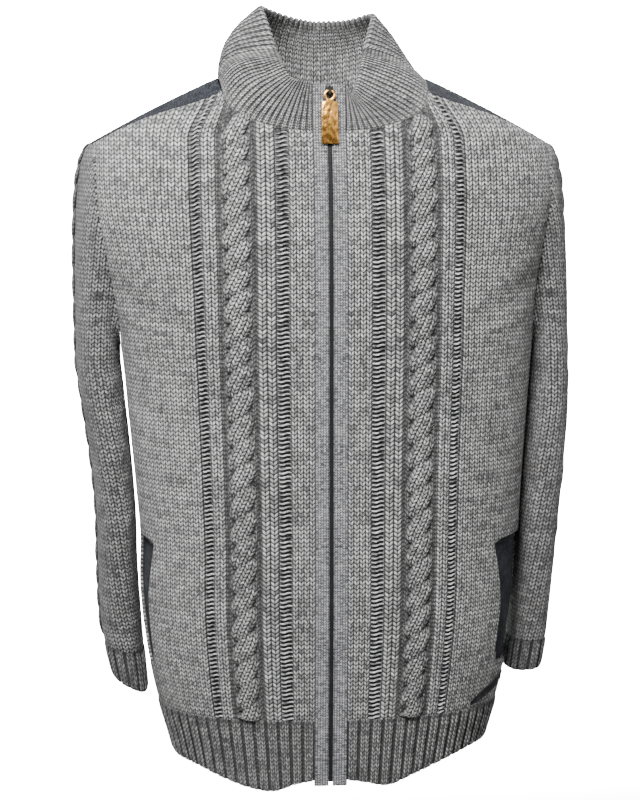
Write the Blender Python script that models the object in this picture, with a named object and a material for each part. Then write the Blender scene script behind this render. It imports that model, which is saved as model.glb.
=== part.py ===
"""Cable knit zip cardigan, men's extra large, filled out as when worn and empty inside.

Metres, +Z up. The front faces -Y and +X is on the viewer's right. The origin is at the
middle of the neck opening, level with the points where the shoulders meet the collar.
Every cloth piece is a wall: a plain inside, and an outside whose cables and ribs stand
up from it. The walls follow one body surface, so the pieces meet along their seams.
"""
import math
from functools import lru_cache

import bmesh
import bpy
import numpy as np
from mathutils import Matrix, Vector

# ---------------------------------------------------------------- driving sizes
GAP = 0.0003                 # between pieces that are sewn together
WALL = 0.0030                # knitted cloth
COLLAR_WALL = 0.0056         # the collar is folded double
BAND_EDGE = 0.0168           # where a front meets the smooth band beside the zip
BAND_INNER = 0.0021          # half of the slot that shows the zip
SIDE_Y = -0.010              # the side seams lie a little before the middle
RIDGE_Y = 0.005              # the top of the shoulders
CHEST = -0.280               # underarm level: above it the body closes over the shoulders
DOME = 0.290                 # height that the closing part spans at the neck
SECTION_POWER = 2.5          # squareness of the body seen from above
DOME_POWER = 3.0             # squareness of the upper body seen from the side
RIB_TOP = -0.6595            # where the hem rib starts
HEM_GAP = 0.0005             # a little more than the other seams, round the body's curve
NECK_HALF = 0.1085           # half width of the neck opening at the shoulders
YOKE_BACK = -0.115           # lower edge of the fine knit yoke on the back
ROW = 0.0052                 # height of a knitted row on the lower body
ROW_TOP = 0.0040             # height of a row near the neck
ROWS_PER_CROSSING = 5.8
CABLE_RISE = 0.0046
RIB_PITCH = 0.0125           # hem and cuff ribs: two raised columns and a groove
COLLAR_PITCH = 0.0066        # collar ribs
RIB_RISE = 0.0013
COLLAR_RISE = 0.0009

# Half-widths to each side of the zip, and depths before and behind the side line.
BODY_COLUMNS = ("height", "left", "right", "front", "back")
BODY = (
    (-0.740, 0.155, 0.167, 0.116, 0.112),
    (-0.700, 0.1645, 0.1775, 0.119, 0.116),
    (-0.660, 0.176, 0.189, 0.122, 0.120),
    (-0.610, 0.1865, 0.1995, 0.125, 0.123),
    (-0.540, 0.194, 0.209, 0.128, 0.125),
    (-0.480, 0.1935, 0.211, 0.128, 0.125),
    (-0.430, 0.1975, 0.2135, 0.127, 0.124),
    (-0.360, 0.204, 0.218, 0.126, 0.124),
    (-0.280, 0.212, 0.2235, 0.126, 0.128),
    (-0.215, 0.2245, 0.229, 0.126, 0.128),
    (-0.170, 0.2365, 0.2385, 0.126, 0.128),
    (-0.130, 0.245, 0.2475, 0.126, 0.128),
    (-0.065, 0.2475, 0.2485, 0.126, 0.128),
    (0.020, 0.2475, 0.2485, 0.126, 0.128),
)
# Lower edge: share of the way from the zip to the side seam, and heights.
HEM_COLUMNS = ("share", "left", "right", "back")
HEM = (
    (0.00, -0.7245, -0.7245, -0.7150),
    (0.10, -0.7290, -0.7285, -0.7150),
    (0.19, -0.7358, -0.7325, -0.7150),
    (0.33, -0.7335, -0.7225, -0.7150),
    (0.45, -0.7265, -0.7135, -0.7148),
    (0.62, -0.7165, -0.7040, -0.7145),
    (0.85, -0.7150, -0.7045, -0.7140),
    (1.00, -0.7150, -0.7090, -0.7135),
)
# Front neck seam: distance from the zip and height.
NECK_FRONT = (
    (0.000, -0.0555),
    (0.030, -0.0545),
    (0.060, -0.0495),
    (0.080, -0.0430),
    (0.095, -0.0345),
    (0.1035, -0.0235),
    (0.1068, -0.0125),
    (0.1080, -0.0060),
    (NECK_HALF, -0.0020),
)
NECK_BACK_DEPTH = 0.083      # the back neck seam, behind the shoulder line
# Armhole: angle up the closing part of the body, and share of the chest half-width.
ARMHOLE = (
    (0, 1.0),
    (2, 0.9965),
    (5, 0.991),
    (14, 0.984),
    (24, 0.977),
    (34, 0.970),
    (54, 0.966),
    (72, 0.976),
    (90, 0.985),
)
EDGE_AT_NECK = 68.0          # angle at which the fronts end and the yoke begins
EDGE_AT_TIP = 73.2
FRONT_ARM_ANGLES = (2, 5, 14, 24, 34, 44, 54, 64)
YOKE_TIP_ANGLES = (78.6, 84.3)
BACK_ARM_ANGLES = (2, 5, 14, 24, 34)
YOKE_BACK_ANGLES = (54, 64, 73.2, 78.6, 84.3)
YOKE_BACK_TIP = 44.0

# Pocket mouth: height, and share of the half-width that the front still covers.
MOUTH_COLUMNS = ("height", "left", "right")
MOUTH = (
    (-0.612, 0.965, 0.893),
    (-0.575, 0.962, 0.883),
    (-0.533, 0.955, 0.869),
    (-0.505, 0.943, 0.848),
    (-0.482, 0.930, 0.825),
)
MOUTH_RUNOUT = 0.012         # over this height the mouth's ends close to the side seam

# Knit columns of a front at the chest: distance from the zip and how far they stand up.
INNER_PATTERN = (
    (BAND_EDGE, 0.0),
    (0.0413, 0.0),
    (0.0435, -0.0011),
    (0.0536, -0.0011),
    (0.0558, 0.0),
    (0.0602, 0.0016),
    (0.0647, 0.0002),
    (0.0691, 0.0016),
    (0.0736, -0.0009),
)
OUTER_PATTERN = (
    (0.1125, -0.0009),
    (0.1159, 0.0015),
    (0.1193, 0.0002),
    (0.1227, 0.0015),
    (0.1261, -0.0006),
    (0.1280, -0.0011),
    (0.1330, -0.0011),
    (0.1348, 0.0),
)
CABLE_FROM = 0.0789
CABLE_TO = 0.1081
CABLE_COLUMNS = 7
CABLE_STEPS = 4              # rows of points to each crossing
SLEEVE_CABLE_STEPS = 3
PLAIN_COLUMNS = 5

# Collar top edge: angle round the neck, distance to the side, depth and height.
COLLAR_LEFT = (
    (8.9, 0.0172, -0.1040, -0.0085),
    (30, 0.0300, -0.1020, -0.0060),
    (45, 0.0380, -0.0970, -0.0035),
    (60, 0.0435, -0.0870, 0.0035),
    (75, 0.0470, -0.0730, 0.0138),
    (90, 0.0515, -0.0550, 0.0264),
    (105, 0.0555, -0.0350, 0.0410),
    (120, 0.0600, -0.0100, 0.0595),
    (135, 0.0625, 0.0200, 0.0730),
    (150, 0.0480, 0.0480, 0.0690),
    (165, 0.0220, 0.0660, 0.0615),
    (180, 0.0000, 0.0720, 0.0575),
)
COLLAR_RIGHT = (
    (8.9, 0.0172, -0.1040, -0.0115),
    (20, 0.0225, -0.1030, -0.0185),
    (35, 0.0275, -0.0985, -0.0175),
    (50, 0.0310, -0.0900, -0.0105),
    (65, 0.0350, -0.0760, 0.0000),
    (80, 0.0405, -0.0580, 0.0160),
    (95, 0.0470, -0.0380, 0.0330),
    (110, 0.0530, -0.0150, 0.0480),
    (125, 0.0595, 0.0120, 0.0620),
    (140, 0.0575, 0.0400, 0.0655),
    (155, 0.0370, 0.0590, 0.0600),
    (180, 0.0000, 0.0720, 0.0575),
)
# How far the collar swells outwards half-way up, by the angle round the neck.
COLLAR_SWELL_COLUMNS = ("angle", "left", "right")
COLLAR_SWELL = (
    (8.9, 0.000, 0.000),
    (45, 0.003, 0.000),
    (75, 0.009, 0.003),
    (100, 0.017, 0.008),
    (125, 0.021, 0.011),
    (150, 0.013, 0.010),
    (180, 0.006, 0.006),
)
COLLAR_LIFT = 0.0009         # clear of the neck edges that it is sewn to

# Sleeves below the armhole: height, outer and inner side, front and back, and how much
# lower the inner side hangs.
SLEEVE_COLUMNS = ("height", "outer", "inner", "front", "back", "slant")
SLEEVE_LEFT = (
    (-0.640, 0.2255, 0.1860, -0.030, 0.066, 0.020),
    (-0.610, 0.2325, 0.1895, -0.034, 0.070, 0.009),
    (-0.580, 0.2365, 0.1930, -0.038, 0.075, 0.005),
    (-0.520, 0.2390, 0.2000, -0.043, 0.085, 0.002),
    (-0.460, 0.2400, 0.2020, -0.047, 0.095, 0.001),
    (-0.400, 0.2455, 0.2065, -0.050, 0.103, 0.001),
    (-0.340, 0.2540, 0.2125, -0.051, 0.110, 0.000),
    (-0.300, 0.2595, 0.2165, -0.050, 0.112, 0.000),
)
SLEEVE_RIGHT = (
    (-0.648, 0.2410, 0.2000, -0.031, 0.066, 0.002),
    (-0.610, 0.2475, 0.2050, -0.034, 0.070, 0.002),
    (-0.580, 0.2500, 0.2085, -0.038, 0.075, 0.001),
    (-0.520, 0.2550, 0.2150, -0.043, 0.085, 0.000),
    (-0.460, 0.2600, 0.2170, -0.047, 0.095, 0.000),
    (-0.400, 0.2650, 0.2200, -0.050, 0.103, 0.000),
    (-0.340, 0.2680, 0.2245, -0.051, 0.110, 0.000),
    (-0.300, 0.2665, 0.2275, -0.050, 0.112, 0.000),
)
SLEEVES = {-1: SLEEVE_LEFT, 1: SLEEVE_RIGHT}
SLEEVE_POWER = 2.6
SLEEVE_TOP = -0.300
CUFF_TOP = -0.603
CUFF_END = {-1: -0.638, 1: -0.636}
CAP_LENGTH = 0.240           # down the outer line from the shoulder to SLEEVE_TOP
SLEEVE_CABLE_HALF = 0.015
UNDERARM_TURN = 0.038        # the underarm seam runs down nearer the front

ZIP_TOP = -0.0125
ZIP_END = -0.7300
PULL_AXIS_HEIGHT = -0.0155
PULL_WIDTH = 0.0175
PULL_LENGTH = 0.0445
PULL_THICKNESS = 0.0024


# ---------------------------------------------------------------- curves and tables
@lru_cache(maxsize=None)
def _slopes(xs, ys):
    return np.gradient(np.array(ys, float), np.array(xs, float))


def through(xs, ys, x):
    """Value at x of a smooth curve through a table's rows."""
    xs = tuple(xs)
    ys = tuple(ys)
    x = min(max(x, xs[0]), xs[-1])
    i = min(max(int(np.searchsorted(xs, x, side="right")) - 1, 0), len(xs) - 2)
    width = xs[i + 1] - xs[i]
    t = (x - xs[i]) / width
    slopes = _slopes(xs, ys)
    rise = (2 * t ** 3 - 3 * t ** 2 + 1) * ys[i] + (3 * t ** 2 - 2 * t ** 3) * ys[i + 1]
    bend = (t ** 3 - 2 * t ** 2 + t) * slopes[i] + (t ** 3 - t ** 2) * slopes[i + 1]
    return rise + width * bend


def table_value(table, column, key):
    return through([row[0] for row in table], [row[column] for row in table], key)


def body_size(height, name):
    return table_value(BODY, BODY_COLUMNS.index(name), height)


def half_width(side, height):
    return body_size(height, "right" if side > 0 else "left")


def smooth_step(t):
    t = min(max(t, 0.0), 1.0)
    return t * t * (3 - 2 * t)


def rounded(angle, power):
    """Both parts of a unit rounded corner, by the direction from its middle."""
    across = abs(math.sin(angle))
    along = abs(math.cos(angle))
    radius = (across ** power + along ** power) ** (-1 / power)
    return radius * across, radius * along


def rest_of(share, power):
    return max(1 - min(share, 1.0) ** power, 0.0) ** (1 / power)


# ---------------------------------------------------------------- the body surface
def shoulder_height(x):
    """Height of the shoulder line at a distance from the neck's middle."""
    beyond = x - NECK_HALF
    if beyond < 0:
        return -0.002 + 0.012 * (1 - (x / NECK_HALF) ** 2)
    return -0.002 - 0.435 * beyond - 0.5 * beyond ** 2


def surface_depth(side, face, x, z):
    """Y of the body's front or back surface at a distance from the middle and a height."""
    across = rest_of(x / half_width(side, z), SECTION_POWER)
    sign = -1 if face == "front" else 1
    if z <= CHEST:
        return SIDE_Y + sign * body_size(z, face) * across
    reach = sign * (SIDE_Y - RIDGE_Y) + body_size(CHEST, face) * across
    climb = (z - CHEST) / (shoulder_height(x) - CHEST)
    return RIDGE_Y + sign * reach * rest_of(climb, DOME_POWER)


@lru_cache(maxsize=None)
def section(side, face, z):
    """Shares of the way round from the middle to the side, and the distances there."""
    width = half_width(side, z)
    depth = body_size(z, face)
    start = BAND_EDGE if face == "front" else 0.0
    first = math.atan2(start / width, rest_of(start / width, SECTION_POWER))
    points = []
    for angle in np.linspace(first, math.pi / 2, 121):
        across, along = rounded(angle, SECTION_POWER)
        points.append((width * across, depth * along))
    points = np.array(points)
    run = np.concatenate(([0.0], np.cumsum(np.hypot(*np.diff(points, axis=0).T))))
    return run / run[-1], points[:, 0]


def distance_at(side, face, z, share):
    shares, distances = section(side, face, z)
    return float(np.interp(share, shares, distances))


def share_at(side, face, z, distance):
    shares, distances = section(side, face, z)
    return float(np.interp(distance, distances, shares))


def flare(side, z, x):
    """The shoulders are wider than the chest, and only the outer columns lean out."""
    chest_width = half_width(side, CHEST)
    return (half_width(side, z) - chest_width) * (x / chest_width) ** 4


def drift(x, z):
    """Near the neck the outer pattern columns lean in towards it."""
    return 0.022 * smooth_step((z + 0.065) / 0.055) * math.exp(-((x - 0.1348) / 0.035) ** 2)


def body_point(side, face, share, level):
    """Point of the body: share of the way to the side, and level up its knit column.

    A share above 1 carries on past the side seam onto the other face.
    """
    if share > 1:
        face = "back" if face == "front" else "front"
        share = 2 - share
    if level <= CHEST:
        x = distance_at(side, face, level, share)
        z = level
    else:
        climb, _ = rounded((level - CHEST) / DOME, DOME_POWER)
        chest_x = distance_at(side, face, CHEST, share)
        top_x = chest_x + flare(side, 0.0, chest_x)
        z = CHEST + (shoulder_height(top_x) - CHEST) * climb
        x = chest_x + flare(side, z, chest_x)
        if face == "front":
            x -= drift(chest_x, z)
    return Vector((side * x, surface_depth(side, face, x, z), z))


def level_of(angle):
    return CHEST + DOME * math.radians(angle)


def normal_of(point, u, v, sign, low=(0.0, -1.0), high=(1.5, level_of(90))):
    """Outward direction of a surface given by a function of two numbers."""
    step_u = 0.003
    step_v = 0.002
    along_u = point(min(u + step_u, high[0]), v) - point(max(u - step_u, low[0]), v)
    along_v = point(u, min(v + step_v, high[1])) - point(u, max(v - step_v, low[1]))
    return along_u.cross(along_v).normalized() * sign


def body_pair(side, face, share, level, rise=0.0, wall=WALL, sink=0.0):
    """Outer and inner point of a wall that follows the body."""
    sign = side if face == "front" else -side

    def point(u, v):
        return body_point(side, face, u, v)

    base = point(share, level)
    out = normal_of(point, share, level, sign)
    if share == 1.0 and level <= CHEST:
        base.y += GAP / 2 * (-1 if face == "front" else 1)
        out.y = 0.0
    return base + out * (rise - sink), base - out * (wall + sink)


def closing_value(side, face, spot):
    """Zero on the upper body's surface, and more outside it."""
    sign = -1 if face == "front" else 1
    x = abs(spot.x)
    across = rest_of(x / half_width(side, spot.z), SECTION_POWER)
    reach = sign * (SIDE_Y - RIDGE_Y) + body_size(CHEST, face) * across
    climb = (spot.z - CHEST) / (shoulder_height(x) - CHEST)
    return (abs(spot.y - RIDGE_Y) / reach) ** DOME_POWER + climb ** DOME_POWER


def closing_normal(side, face, spot):
    """Outward direction of the upper body's surface at a point of it."""
    step = 0.0005
    slope = []
    for axis in ((step, 0, 0), (0, step, 0), (0, 0, step)):
        shift = Vector(axis)
        slope.append(closing_value(side, face, spot + shift) - closing_value(side, face, spot - shift))
    return Vector(slope).normalized()


def arm_share(side, face, level):
    """Share of the way to the side at which the armhole cuts a panel."""
    angle = math.degrees(max(level - CHEST, 0.0) / DOME)
    of_chest = through([row[0] for row in ARMHOLE], [row[1] for row in ARMHOLE], angle)
    return share_at(side, face, CHEST, of_chest * half_width(side, CHEST))


def mouth_share(side, level):
    column = MOUTH_COLUMNS.index("right" if side > 0 else "left")
    ratio = table_value(MOUTH, column, level)
    return share_at(side, "front", level, ratio * half_width(side, level))


def front_end(side, level):
    """Where a front ends: at the side seam, the pocket mouth or the armhole."""
    if level > CHEST:
        return arm_share(side, "front", level)
    if MOUTH[0][0] <= level <= MOUTH[-1][0]:
        return mouth_share(side, level)
    return 1.0


def back_end(side, level):
    return arm_share(side, "back", level) if level > CHEST else 1.0


def neck_height(x):
    return through([row[0] for row in NECK_FRONT], [row[1] for row in NECK_FRONT], x)


def back_neck_point(side, angle):
    """Back neck seam: 90 at the shoulder and 180 at the middle of the back."""
    x = max(NECK_HALF * math.sin(math.radians(angle)), 0.0)
    y = RIDGE_Y - (NECK_BACK_DEPTH - RIDGE_Y) * math.cos(math.radians(angle))
    reach = SIDE_Y - RIDGE_Y + body_size(CHEST, "back") * rest_of(x / half_width(side, 0.0), SECTION_POWER)
    climb = rest_of((y - RIDGE_Y) / reach, DOME_POWER)
    return Vector((side * x, y, CHEST + (shoulder_height(x) - CHEST) * climb))


def edge_angle(side, chest_x):
    """Angle at which a front's column meets the yoke."""
    tip = ARMHOLE[-1][1] * half_width(side, CHEST)
    t = (chest_x - 0.13) / (tip - 0.13)
    return EDGE_AT_NECK + (EDGE_AT_TIP - EDGE_AT_NECK) * smooth_step(t)


def front_top(side, share):
    """Level at which a front's column reaches the neck seam or the yoke."""
    chest_x = distance_at(side, "front", CHEST, share)
    low = CHEST
    high = level_of(edge_angle(side, chest_x))
    end = body_point(side, "front", share, high)
    if abs(end.x) >= NECK_HALF or end.z <= neck_height(abs(end.x)):
        return high
    for _ in range(30):
        middle = (low + high) / 2
        spot = body_point(side, "front", share, middle)
        if spot.z < neck_height(abs(spot.x)):
            low = middle
        else:
            high = middle
    return low


# ---------------------------------------------------------------- knitting
def rows_up_to(level):
    """Count of knitted rows from the hem rib up to a level."""
    straight = (min(level, CHEST) - RIB_TOP) / ROW
    if level <= CHEST:
        return straight
    shrink = (ROW - ROW_TOP) / 0.25
    return straight + math.log(ROW / max(ROW - shrink * (level - CHEST), ROW_TOP * 0.8)) / shrink


def level_of_rows(rows):
    low = RIB_TOP
    high = 0.1
    for _ in range(40):
        middle = (low + high) / 2
        if rows_up_to(middle) < rows:
            low = middle
        else:
            high = middle
    return low


def cable_rise(across, crossings, half, pitch):
    """Height of a two-strand rope cable whose strands pass up to the right."""
    lean = math.radians(33)
    best = 0.0
    first = math.floor(crossings) - 1
    for k in range(first, first + 4):
        dx = across * half
        dy = (crossings - k - 0.5) * pitch
        along = dx * math.sin(lean) + dy * math.cos(lean)
        aside = dx * math.cos(lean) - dy * math.sin(lean)
        inside = 1 - (along / (0.68 * pitch)) ** 2 - (aside / (0.62 * half)) ** 2
        if inside > 0:
            best = max(best, CABLE_RISE * math.sqrt(inside))
    return best


# ---------------------------------------------------------------- walls as meshes
def zip_runs(first, second, lead=1):
    """Triangles between two runs of points, each a list of (position, vertex).

    Where both runs have a point at the same position, lead says which steps first, and
    so which way the triangles' shared edges lean.
    """
    faces = []
    i = 0
    j = 0
    while i < len(first) - 1 or j < len(second) - 1:
        if j == len(second) - 1:
            step_first = True
        elif i == len(first) - 1:
            step_first = False
        else:
            step_first = first[i + 1][0] <= second[j + 1][0] + lead * 1e-6
        if step_first:
            faces.append((first[i][1], second[j][1], first[i + 1][1]))
            i += 1
        else:
            faces.append((first[i][1], second[j][1], second[j + 1][1]))
            j += 1
    return faces


def make_wall(name, outer, inner, material, wrap=False, lead=1, smooth=35):
    """Closed wall from outer and inner columns.

    A column is (place across, [(place along, point), ...]). Neighbouring columns may
    have different numbers of points. With wrap the wall is a tube.
    """
    verts = []

    def add(columns):
        runs = []
        for across, points in columns:
            run = []
            for along, point in points:
                run.append((along, len(verts)))
                verts.append(tuple(point))
            runs.append((across, run))
        return runs

    outside = add(outer)
    inside = add(inner)
    faces = []
    for runs in (outside, inside):
        pairs = list(zip(runs, runs[1:]))
        if wrap:
            pairs.append((runs[-1], runs[0]))
        for (_, left), (_, right) in pairs:
            faces.extend(zip_runs(left, right, lead))
    for end in (0, -1):
        rims = []
        for runs in (outside, inside):
            rim = [(across, run[end][1]) for across, run in runs]
            if wrap:
                rim.append((1.0, rim[0][1]))
            rims.append(rim)
        faces.extend(zip_runs(*rims))
    if not wrap:
        for side in (0, -1):
            faces.extend(zip_runs(outside[side][1], inside[side][1]))
    return finish_mesh(name, verts, faces, material, smooth)


def finish_mesh(name, verts, faces, material, smooth=35):
    mesh = bpy.data.meshes.new(name)
    mesh.from_pydata(verts, [], faces)
    work = bmesh.new()
    work.from_mesh(mesh)
    bmesh.ops.remove_doubles(work, verts=work.verts, dist=1e-6)
    bmesh.ops.recalc_face_normals(work, faces=work.faces)
    work.to_mesh(mesh)
    work.free()
    mesh.shade_smooth()
    mesh.set_sharp_from_angle(angle=math.radians(smooth))
    obj = bpy.data.objects.new(name, mesh)
    bpy.context.collection.objects.link(obj)
    obj.data.materials.append(material)
    return obj


def spread(low, high, count):
    return [low + (high - low) * i / (count - 1) for i in range(count)]


def share_of_run(values):
    """Positions from 0 to 1 of values that climb from the first to the last."""
    return [(value - values[0]) / (values[-1] - values[0]) for value in values]


# ---------------------------------------------------------------- fronts
def corner_share(side):
    """Share of the column that meets the yoke at the neck seam."""
    low = 0.0
    high = 1.0
    for _ in range(40):
        middle = (low + high) / 2
        chest_x = distance_at(side, "front", CHEST, middle)
        if front_top(side, middle) < level_of(edge_angle(side, chest_x)) - 1e-7:
            low = middle
        else:
            high = middle
    return high


@lru_cache(maxsize=None)
def front_columns(side):
    """Shares, rises and kinds of a front's pattern columns, from the band outwards."""
    columns = [(x, rise, "rib") for x, rise in INNER_PATTERN]
    columns += [(x, 0.0, "cable") for x in spread(CABLE_FROM, CABLE_TO, CABLE_COLUMNS)]
    columns += [(x, rise, "rib") for x, rise in OUTER_PATTERN]
    columns = [(share_at(side, "front", CHEST, x), rise, kind) for x, rise, kind in columns]
    columns.append((corner_share(side), -0.0008, "rib"))
    return sorted(columns)


def front_edge_levels(side):
    """Levels of the points down a front's outer edge."""
    levels = [RIB_TOP + HEM_GAP, MOUTH[0][0] - MOUTH_RUNOUT]
    levels += [row[0] for row in MOUTH]
    levels += [MOUTH[-1][0] + MOUTH_RUNOUT / 2, -0.43, -0.38, -0.33, CHEST]
    levels += [level_of(angle) for angle in FRONT_ARM_ANGLES + (EDGE_AT_TIP,)]
    return levels


INNER_COLUMNS = (0, 4, 8, 11, 13, 15, 17, 19)
PLAIN_PLACES = share_of_run(front_edge_levels(1))


def make_front(side, name, material):
    outer = []
    pattern = front_columns(side)
    cable_half = (CABLE_TO - CABLE_FROM) / 2
    bottom = RIB_TOP + HEM_GAP
    for share, rise, kind in pattern:
        top = front_top(side, share) - GAP / 2
        if kind == "cable":
            last = rows_up_to(top)
            count = int(last / ROWS_PER_CROSSING * CABLE_STEPS)
            levels = [level_of_rows(last * i / count) for i in range(count + 1)]
            levels[0] = bottom
            levels[-1] = top
        else:
            levels = spread(bottom, top, 17)
        if share == pattern[-1][0]:
            levels = plain_levels(side, top)
        points = []
        for level in levels:
            height = rise
            if kind == "cable":
                x = distance_at(side, "front", CHEST, share)
                across = side * (x - (CABLE_FROM + CABLE_TO) / 2) / cable_half
                turns = rows_up_to(level) / ROWS_PER_CROSSING
                height = cable_rise(across, turns, cable_half, ROW * ROWS_PER_CROSSING)
            points.append(body_pair(side, "front", share, level, height)[0])
        places = front_places(levels) if share == pattern[-1][0] else share_of_run(levels)
        outer.append((share, list(zip(places, points))))
    first_plain = pattern[-1][0]
    outer += plain_columns(side, first_plain, 0)
    inner = []
    corner = corner_share(side)
    shares = [pattern[index][0] for index in INNER_COLUMNS if pattern[index][0] < corner - 0.004]
    for share in shares + [share for share, _, _ in pattern if share >= corner]:
        top = front_top(side, share) - GAP / 2
        levels = [bottom, -0.56, -0.47, -0.38, CHEST]
        levels += [CHEST + (top - CHEST) * step / 6 for step in range(1, 7)]
        if share == first_plain:
            levels = plain_levels(side, top)
        points = [body_pair(side, "front", share, level)[1] for level in levels]
        inner.append((share, list(zip(front_places(levels), points))))
    inner += plain_columns(side, first_plain, 1)
    return make_wall(name, outer, inner, material, lead=side)


def front_places(levels):
    """Places along a column: the plain columns' levels are matched one to one."""
    if len(levels) == len(front_edge_levels(1)):
        return PLAIN_PLACES
    return share_of_run(levels)


def plain_levels(side, top):
    """The outer edge's levels, with those above the chest fitted under a column's top."""
    edge = front_edge_levels(side)
    levels = [level for level in edge if level <= CHEST]
    tip = level_of(EDGE_AT_TIP) - GAP / 2
    for level in edge[len(levels):]:
        levels.append(CHEST + (min(level, tip) - CHEST) * (top - CHEST) / (tip - CHEST))
    return levels


def plain_reach(side, first, k):
    """Share at the armhole's top of the k-th plain column."""
    tip = arm_share(side, "front", level_of(EDGE_AT_TIP))
    return first + (tip - first) * k / PLAIN_COLUMNS


def plain_columns(side, first, which):
    """The columns of plain knit between the pattern and a front's outer edge."""
    columns = []
    for k in range(1, PLAIN_COLUMNS + 1):
        part = k / PLAIN_COLUMNS
        reach = plain_reach(side, first, k)
        levels = plain_levels(side, front_top(side, reach) - GAP / 2)
        points = []
        for edge_level, level in zip(front_edge_levels(side), levels):
            end = front_end(side, edge_level) if k == PLAIN_COLUMNS else soft_end(side, edge_level)
            share = first + (end - first) * part
            points.append(body_pair(side, "front", share, level)[which])
        columns.append((reach, list(zip(PLAIN_PLACES, points))))
    return columns


def soft_end(side, level):
    """The outer edge as the columns inside a front follow it."""
    if level > CHEST:
        return arm_share(side, "front", level)
    low, high = MOUTH[0][0] - MOUTH_RUNOUT, MOUTH[-1][0] + MOUTH_RUNOUT / 2
    if low < level < high:
        return front_end(side, min(max(level, MOUTH[0][0]), MOUTH[-1][0]))
    return 1.0


# ---------------------------------------------------------------- back and yoke
YOKE_NECK_ANGLES = (102, 117, 133, 149, 165)
BACK_SHARES = (0.0, 0.24, 0.45, 0.63, 0.78, 0.89, 0.955, 1.0)
FACING_END = 2 - BACK_SHARES[-2]


def make_back(material):
    shares = BACK_SHARES
    bottom = RIB_TOP + HEM_GAP
    columns = [(1, share) for share in reversed(shares)] + [(-1, share) for share in shares[1:]]
    top = level_of(YOKE_BACK_TIP)
    levels = [bottom, -0.60, -0.54, -0.48, -0.43, -0.38, -0.33, CHEST]
    levels += [level_of(angle) for angle in BACK_ARM_ANGLES]
    levels.append(top - GAP / 2)
    walls = ([], [])
    for index, (side, share) in enumerate(columns):
        for which in (0, 1):
            points = []
            for level in levels:
                here = share * back_end(side, level)
                stretch = yoke_line(side, here, level, top)
                points.append(body_pair(side, "back", here, stretch)[which])
            walls[which].append((index, list(zip(share_of_run(levels), points))))
    return make_wall("back", walls[0], walls[1], material)


def yoke_line(side, share, level, top):
    """Level on a back column when its end is moved to the yoke's lower edge."""
    if level <= CHEST:
        return level
    end = back_level(side, share, yoke_edge_height(side))
    return CHEST + (level - CHEST) * (end - CHEST) / (top - CHEST)


@lru_cache(maxsize=None)
def yoke_edge_height(side):
    """The yoke's lower edge is level, at the height where the armhole meets it."""
    level = level_of(YOKE_BACK_TIP)
    return body_point(side, "back", arm_share(side, "back", level), level).z


@lru_cache(maxsize=None)
def back_level(side, share, height):
    low = CHEST
    high = level_of(90)
    for _ in range(30):
        middle = (low + high) / 2
        if body_point(side, "back", share, middle).z < height:
            low = middle
        else:
            high = middle
    return low


def yoke_edge_shares(side):
    """Shares of the front's columns that end at the yoke, from the neck outwards."""
    pattern = front_columns(side)
    corner = corner_share(side)
    first = pattern[-1][0]
    shares = [share for share, _, _ in pattern if share >= corner]
    return shares + [plain_reach(side, first, k + 1) for k in range(PLAIN_COLUMNS)]


def fall_to_edge(x, top, low, level):
    """Height on a straight back column of the yoke, from its top to its lower edge."""
    full = shoulder_height(x) - CHEST
    first = math.asin(min((top - CHEST) / full, 1.0))
    last = math.asin((low - CHEST) / full)
    part = (level_of(90) - level) / (level_of(90) - level_of(YOKE_BACK_TIP))
    return CHEST + full * math.sin(first + (last - first) * part)


def yoke_column(side, share):
    """A column over the shoulder: from a front's edge over the ridge to the back."""
    chest_x = distance_at(side, "front", CHEST, share)
    edge_level = level_of(edge_angle(side, chest_x)) + GAP * 1.7
    edge = body_point(side, "front", share, edge_level)
    tip_level = level_of(EDGE_AT_TIP)
    arm_x = abs(body_point(side, "front", arm_share(side, "front", tip_level), tip_level).x)
    neck_x = NECK_HALF + 0.0008
    reach = min(max((abs(edge.x) - neck_x) / (arm_x - neck_x), 0.0), 1.0)

    def point(u, v, face):
        climb, _ = rounded((v - CHEST) / DOME, DOME_POWER)
        arm = body_point(side, face, arm_share(side, face, v), v)
        x = neck_x + (abs(arm.x) - neck_x) * u
        neck_z = CHEST + (shoulder_height(neck_x) - CHEST) * climb
        if face == "back":
            low = yoke_edge_height(side)
            climb = (arm.z - low) / (shoulder_height(abs(arm.x)) - low)
            neck_z = fall_to_edge(neck_x, shoulder_height(neck_x), low, v)
        ridge = shoulder_height(neck_x) * (1 - u) + shoulder_height(abs(arm.x)) * u
        z = neck_z * (1 - u) + arm.z * u + (shoulder_height(x) - ridge) * climb
        return Vector((side * x, surface_depth(side, face, x, z), z))

    pairs = [body_pair(side, "front", share, edge_level)]
    stations = [("front", angle) for angle in YOKE_TIP_ANGLES] + [("back", 90.0)]
    stations += [("back", angle) for angle in reversed(YOKE_BACK_ANGLES)]
    stations.append(("back", YOKE_BACK_TIP + math.degrees(GAP / 2 / DOME)))
    for face, angle in stations:
        base = point(reach, level_of(angle), face)
        pairs.append((base, base - closing_normal(side, face, base) * WALL))
    return pairs


def yoke_neck_column(side, angle):
    """A column of the yoke from the back neck seam straight down to its lower edge."""
    seam = back_neck_point(side, angle)
    x = abs(seam.x)
    pairs = []
    for station in (90.0,) + tuple(reversed(YOKE_BACK_ANGLES)) + (YOKE_BACK_TIP,):
        z = fall_to_edge(x, seam.z - GAP, yoke_edge_height(side) + GAP / 2, level_of(station))
        base = Vector((side * x, surface_depth(side, "back", x, z), z))
        pairs.append((base, base - closing_normal(side, "back", base) * WALL))
    return pairs


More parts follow.
